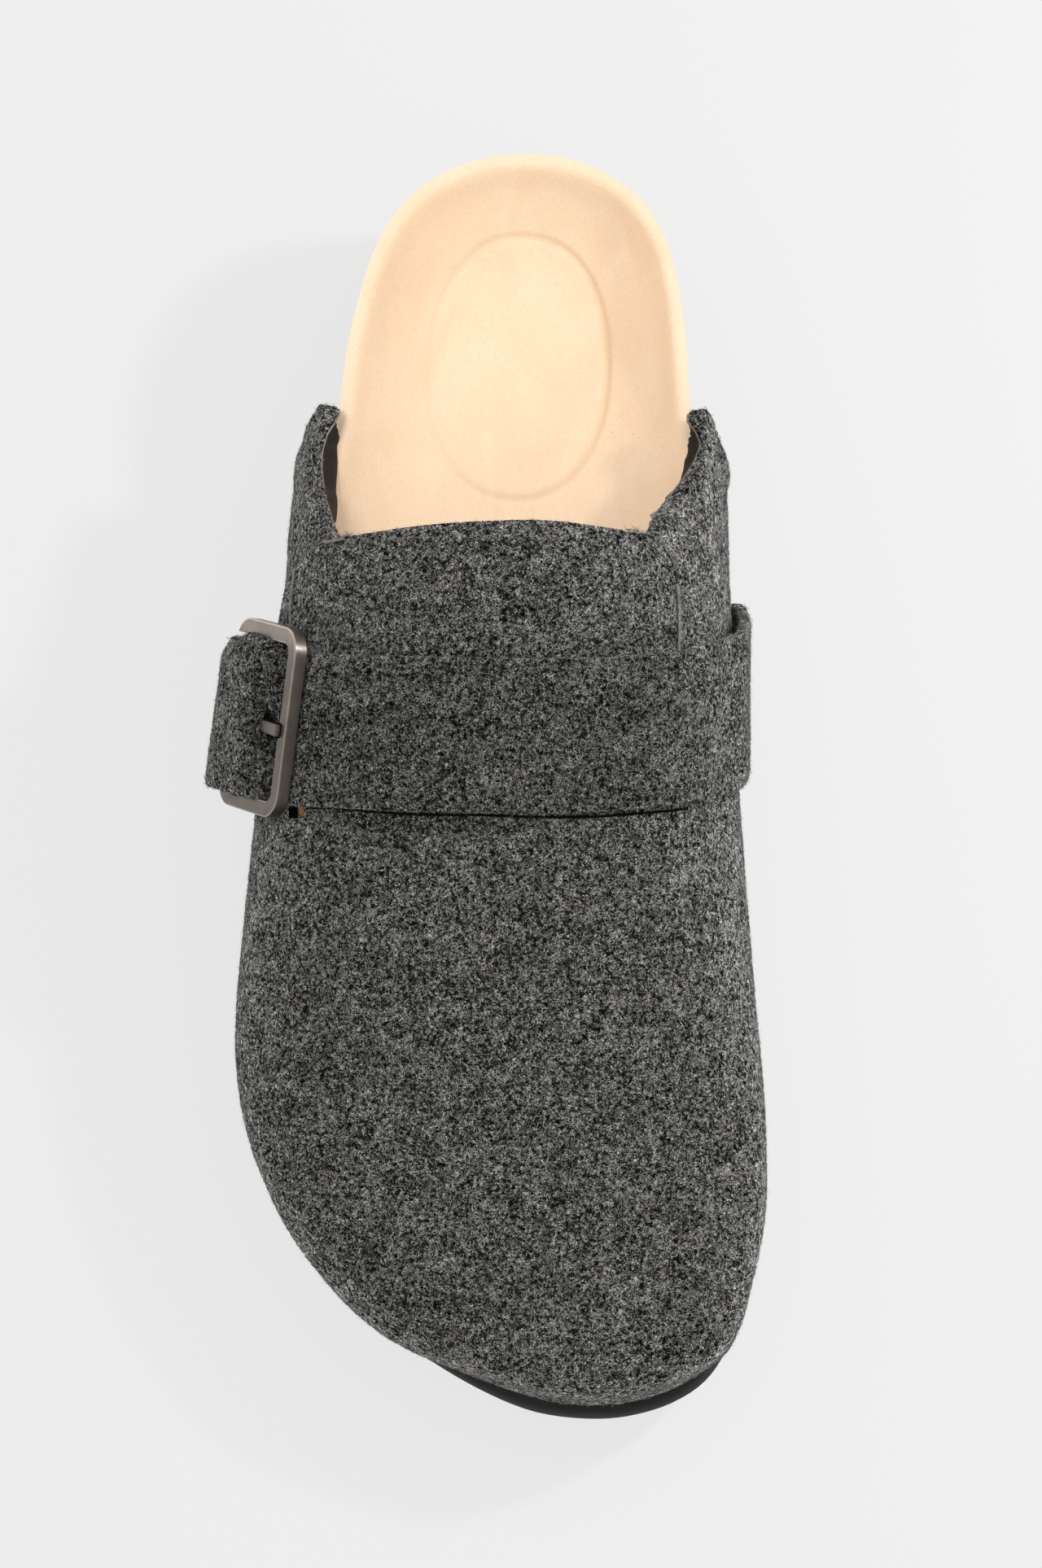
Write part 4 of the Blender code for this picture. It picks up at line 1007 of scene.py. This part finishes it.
def oval_distance(places):
    """Signed distance of places from the heel pad's outline in plan, negative inside."""
    cosine, sine = math.cos(OVAL_TILT), math.sin(OVAL_TILT)
    x, y = places[:, 0] - OVAL_CENTRE.x, places[:, 1] - OVAL_CENTRE.y
    u, v = cosine * x - sine * y, sine * x + cosine * y
    reach = np.abs(u / OVAL_HALF[0]) ** OVAL_POWER + np.abs(v / OVAL_HALF[1]) ** OVAL_POWER
    reach = np.maximum(reach ** (1 / OVAL_POWER), 0.01)
    return (reach - 1.0) * np.hypot(u, v) / reach


def smooth_step(value):
    value = min(max(value, 0.0), 1.0)
    return value * value * (3.0 - 2.0 * value)


def select_faces(piece, wanted):
    """Enters edit mode with only the wanted faces selected."""
    make_active(piece)
    bpy.ops.object.mode_set(mode="EDIT")
    bpy.ops.mesh.select_mode(type="FACE")
    bpy.ops.mesh.select_all(action="DESELECT")
    bpy.ops.object.mode_set(mode="OBJECT")
    for face in piece.data.polygons:
        face.select = wanted(face)
    bpy.ops.object.mode_set(mode="EDIT")


def point_attribute(piece, name, values):
    made = piece.data.attributes.new(name, "FLOAT", "POINT")
    made.data.foreach_set("value", np.array(values, np.float32))


def mark_rim_highlight(piece):
    """Attribute that is 1 on the insole's outer edge and fades over the rolled rim, where the suede gets a
    painted highlight.
    """
    line = point_tree(edge_places(piece.data, (OUTER_FELT, CUT_EDGE)))
    near = [line.find(vert.co)[2] for vert in piece.data.vertices]
    point_attribute(piece, "rim", [smooth_step(1.0 - distance / RIM_BAND) for distance in near])


def press_oval(piece):
    """The heel pad's outline pressed in, deeper on the inner side, and the pad a little raised; the groove is
    marked for a painted shade, heavier on the inner side.
    """
    places, normals = places_of(piece.data), normals_of(piece.data)
    away = oval_distance(places)
    shown = normals[:, 2] > FACES_SHOWN
    groove = np.exp(-((away / GROOVE_WIDTH) ** 2)) * shown
    side = np.clip((places[:, 0] - OVAL_CENTRE.x) / OVAL_HALF[0], -1.0, 1.0)
    depth = GROOVE_DEPTH * (0.7 + 0.3 * side)
    rise = np.clip(-away / PAD_SHOULDER, 0.0, 1.0)
    rise = PAD_RAISE * rise * rise * (3.0 - 2.0 * rise) * shown
    places += normals * (rise - depth * groove)[:, None]
    piece.data.vertices.foreach_set("co", places.ravel())
    piece.data.update()
    point_attribute(piece, "pressed", groove * (0.6 + 0.4 * side))


def insole_piece(skin):
    piece = copy_of("insole", "suede_insole")
    for _ in range(2):
        piece.data.materials.append(skin)
    mark_cut_edges(piece)
    crease_sharp(piece, SHARP_ANGLE, INSOLE_CREASE)
    subdivide(piece, INSOLE_LEVELS)
    centres = np.array([face.center for face in piece.data.polygons])
    near = np.abs(oval_distance(centres)) < OVAL_BAND
    select_faces(piece, lambda face: face.normal.z > FACES_UP and near[face.index])
    bpy.ops.mesh.subdivide(number_cuts=2, smoothness=0.0)
    bpy.ops.object.mode_set(mode="OBJECT")
    mark_rim_highlight(piece)
    press_oval(piece)
    shift_sides(piece, RIM_SHIFTS)
    shade_smooth(piece, INSOLE_SHADING)
    dress(piece, "insole")
    return piece


# Sole and footbed


def moulded_piece(node_name, name, skin, crease, angle):
    piece = copy_of(node_name, name)
    piece.data.materials.append(skin)
    crease_sharp(piece, angle, crease)
    subdivide(piece, MOULDED_LEVELS)
    shade_smooth(piece, MOULDED_SHADING)
    dress(piece, node_name)
    return piece


# Buckle


def buckle_matrix():
    """From the buckle's own axes (along, across, over its plane) to the clog's."""
    made = Matrix((BUCKLE_ALONG, BUCKLE_ACROSS, BUCKLE_OVER)).transposed().to_4x4()
    made.translation = Vector(BUCKLE_ORIGIN) * MM
    return made


def block(name, centre, size, turn=0.0):
    """A block in the buckle's axes, in millimetres, turned about the across axis."""
    bpy.ops.object.select_all(action="DESELECT")
    bpy.ops.mesh.primitive_cube_add(size=1.0)
    made = bpy.context.object
    made.name = name
    place = Matrix.Translation(Vector(centre) * MM) @ Matrix.Rotation(turn, 4, "Y")
    made.data.transform(place @ Matrix.Diagonal((*(Vector(size) * MM), 1.0)))
    return made


def cut(piece, cutter, operation):
    apply(piece, "BOOLEAN", object=cutter, operation=operation, solver="EXACT")
    bpy.data.objects.remove(cutter, do_unlink=True)


def chamfer(piece, width):
    """Small chamfers on the sharp edges, in the piece's second skin, whose paler metal is a painted
    highlight.
    """
    apply(
        piece,
        "BEVEL",
        width=width * MM,
        segments=2,
        limit_method="ANGLE",
        angle_limit=CHAMFER_ANGLE,
        material=1,
    )


def round_frame_corners(piece):
    """Rounds the four upright corners, then opens the plate to a ring of even bars."""
    make_active(piece)
    bpy.ops.object.mode_set(mode="EDIT")
    bpy.ops.mesh.select_mode(type="EDGE")
    bpy.ops.mesh.select_all(action="DESELECT")
    bpy.ops.object.mode_set(mode="OBJECT")
    for edge in piece.data.edges:
        first, second = (piece.data.vertices[i].co for i in edge.vertices)
        edge.select = abs(first.z - second.z) > FRAME_THICKNESS * MM / 2
    bpy.ops.object.mode_set(mode="EDIT")
    bpy.ops.mesh.bevel(offset=FRAME_CORNER * MM, segments=FRAME_CORNER_STEPS, affect="EDGES")
    bpy.ops.object.mode_set(mode="OBJECT")
    select_faces(piece, lambda face: abs(face.normal.z) > 0.9)
    bpy.ops.mesh.inset(thickness=FRAME_BAR * MM)
    bpy.ops.mesh.bridge_edge_loops()
    bpy.ops.object.mode_set(mode="OBJECT")


def frame_piece(skin, highlight_skin):
    size = (FRAME_LENGTH + FRAME_BAR, FRAME_WIDTH, FRAME_THICKNESS)
    piece = block("satin_frame", (FRAME_LENGTH / 2, 0.0, 0.0), size)
    piece.data.materials.append(skin)
    piece.data.materials.append(highlight_skin)
    round_frame_corners(piece)
    chamfer(piece, FRAME_CHAMFER)
    cut(piece, block("hinge_gap", (FRAME_LENGTH + HINGE_GAP_SHIFT, 0.0, 0.0), HINGE_GAP_SIZE), "DIFFERENCE")
    middle = (NOTCH_FROM + NOTCH_TO) / 2
    rise = (PRONG_TIP[1] - PRONG_BASE[1]) / (PRONG_BASE[0] - PRONG_TIP[0])
    centre = (middle, PRONG_ACROSS, PRONG_TIP[1] + (PRONG_TIP[0] - middle) * rise)
    cut(piece, block("notch", centre, NOTCH_SIZE, math.atan(rise)), "DIFFERENCE")
    bpy.ops.mesh.primitive_cylinder_add(
        vertices=HINGE_SIDES, radius=HINGE_RADIUS * MM, depth=(FRAME_WIDTH - FRAME_BAR) * MM
    )
    bar = bpy.context.object
    hinge = Matrix.Translation(Vector((FRAME_LENGTH, 0.0, -HINGE_RECESS)) * MM)
    bar.data.transform(hinge @ Matrix.Rotation(math.pi / 2, 4, "X"))
    cut(piece, bar, "UNION")
    piece.data.transform(buckle_matrix())
    shade_smooth(piece, FRAME_SHADING)
    apply(piece, "WEIGHTED_NORMAL", weight=100, keep_sharp=True)
    dress(piece, "buckle_frame")
    return piece


def prong_piece(skin, highlight_skin):
    piece = copy_of("buckle_prong", "satin_prong")
    piece.data.materials.append(skin)
    piece.data.materials.append(highlight_skin)
    place = buckle_matrix()
    slim = Matrix.Translation((0.0, PRONG_ACROSS * MM, 0.0)) @ Matrix.Diagonal((1.0, PRONG_SLIM, 1.0, 1.0))
    slim = slim @ Matrix.Translation((0.0, -PRONG_ACROSS * MM, 0.0))
    piece.data.transform(place @ slim @ place.inverted())
    chamfer(piece, PRONG_CHAMFER)
    shade_smooth(piece, PRONG_SHADING)
    dress(piece, "buckle_prong")
    return piece


def laid_block(name, spot, carrier, skin):
    """A small rounded block lying on the carrier's outer side at a place in plan."""
    (x, y), half = spot
    place, normal, _, _ = tree_of(carrier).ray_cast(Vector((x, y, 0.2)), Vector((0.0, 0.0, -1.0)))
    bpy.ops.object.select_all(action="DESELECT")
    bpy.ops.mesh.primitive_cube_add(size=2.0)
    piece = bpy.context.object
    piece.name = name
    along = normal.cross(Vector((1.0, 0.0, 0.0))).normalized()
    turn = Matrix((along.cross(normal), along, normal)).transposed().to_4x4()
    piece.data.transform(Matrix.Translation(place) @ turn @ Matrix.Diagonal((*half, 1.0)))
    piece.data.materials.append(skin)
    apply(piece, "BEVEL", width=min(half) * 0.6, segments=3)
    shade_smooth(piece, SMALL_SHADING)
    dress(piece, None)
    return piece


# Stage


def add_camera():
    data = bpy.data.cameras.new("photo_camera")
    data.sensor_width = SENSOR
    data.lens = FOCAL_PIXELS / IMAGE_SIZE[1] * SENSOR
    camera = bpy.data.objects.new("photo_camera", data)
    bpy.context.scene.collection.objects.link(camera)
    back = Vector((0.0, -math.cos(CAMERA_ELEVATION), math.sin(CAMERA_ELEVATION)))
    camera.location = CAMERA_TARGET + back * CAMERA_DISTANCE
    camera.rotation_euler = (math.pi / 2 - CAMERA_ELEVATION, 0.0, 0.0)
    bpy.context.scene.camera = camera


def add_lamp(name, place, size, power, receiver=None):
    """A round lamp aimed at the clog; with a receiver it lights nothing else."""
    data = bpy.data.lights.new(name, "AREA")
    data.shape = "DISK"
    data.size = size
    data.energy = power
    lamp = bpy.data.objects.new(name, data)
    bpy.context.scene.collection.objects.link(lamp)
    lamp.location = place
    lamp.rotation_euler = place.to_track_quat("Z", "Y").to_euler()
    if receiver:
        lit = bpy.data.collections.new(f"{name}_receivers")
        lit.objects.link(receiver)
        lamp.light_linking.receiver_collection = lit


def add_sky():
    world = bpy.data.worlds.new("pale_studio")
    world.use_nodes = True
    sky = world.node_tree.nodes["Background"]
    sky.inputs["Color"].default_value = SKY_COLOUR
    sky.inputs["Strength"].default_value = SKY_STRENGTH
    bpy.context.scene.world = world


def add_floor():
    bpy.ops.object.select_all(action="DESELECT")
    bpy.ops.mesh.primitive_plane_add(size=FLOOR_SIZE)
    floor = bpy.context.object
    floor.name = "studio_floor"
    floor.data.materials.append(floor_material())
    return floor


def main():
    felt = felt_material("grey_felt", UPPER_FELT)
    rim = felt_material("felt_rim", EDGE_FELT)
    fibres = fibre_material()
    metal = metal_material("satin_gunmetal", 1.0, METAL_ROUGHNESS)
    # Paler metal on the chamfers: a painted highlight
    highlight_metal = metal_material("metal_edge_highlight", EDGE_HIGHLIGHT_LIGHTNESS, EDGE_ROUGHNESS)
    # The lining is painted nearly black: painted shade inside the quarters, in the gap down to the footbed
    lining = lining_material("lining_painted_shade", LINING_SHADE_LIGHTNESS)
    upper = felt_piece("upper", "felt_upper", (felt, rim, lining), FELT_LEVELS)
    dark_felt = felt_material("dark_grey_felt", STRAP_FELT)
    strap = felt_piece("strap", "felt_strap", (dark_felt, dark_felt), FELT_LEVELS)
    felt_piece("buckle_tab", "felt_tab", (felt, felt), TAB_LEVELS)
    insole = insole_piece(suede_material())
    cork, foam = cork_material(), sole_material()
    footbed = moulded_piece("footbed", "cork_footbed", cork, FOOTBED_CREASE, SHARP_ANGLE)
    shift_sides(footbed, CORK_SHIFTS)
    outsole = moulded_piece("outsole", "foam_outsole", foam, SOLE_CREASE, SOLE_SHARP_ANGLE)
    inset_outer_toe(outsole)
    frame_piece(metal, highlight_metal)
    prong = prong_piece(metal, highlight_metal)
    widen_tail(strap)
    press_rear_edge(strap, upper)
    hug_prong(strap, prong)
    cut_line = leather_material("felt_cut_line", FELT_CUT_COLOUR)
    # The dark strands beside the pale flap lines are painted shadow of the flap's step
    flap_lines(upper, cut_line, leather_material("flap_step_shadow", STEP_SHADOW_COLOUR), fibres)
    lining_strand(upper, lining_material("lining_cut_line", LINING_CUT))
    # A black strand of painted shadow on the vamp under the strap's front edge
    strap_shade = leather_material("strap_shade", STRAP_SHADE_COLOUR)
    laid_line("strap_front_shade", STRAP_FRONT, upper, STRAP_SHADE, 0.0, 0.0, strap_shade)
    laid_block("leather_end", LEATHER_END, upper, leather_material("brown_leather", LEATHER_COLOUR))
    # A black block of painted shade in the gap beside the buckle
    laid_block("gap_shade_block", GAP_SHADE_BLOCK, upper, leather_material("gap_shade", GAP_SHADE_COLOUR))
    cover = [tree_of(strap)]
    fuzz_piece("upper_lying_fibres", upper, LYING, UPPER_LYING, 11, fibres, cover)
    fuzz_piece("upper_standing_fibres", upper, STANDING, UPPER_STANDING, 12, fibres, cover)
    fuzz_piece("strap_lying_fibres", strap, LYING, STRAP_LYING, 13, fibres)
    fuzz_piece("strap_standing_fibres", strap, STANDING, STRAP_STANDING, 14, fibres)
    floor = add_floor()
    add_sky()
    add_lamp("key_lamp", KEY_PLACE, KEY_SIZE, KEY_POWER)
    add_lamp("floor_lamp", KEY_PLACE, KEY_SIZE, FLOOR_KEY_POWER, floor)
    add_lamp("insole_lamp", INSOLE_LAMP_PLACE, INSOLE_LAMP_SIZE, INSOLE_LAMP_POWER, insole)
    add_camera()
    bpy.context.scene.view_settings.view_transform = "Standard"


main()
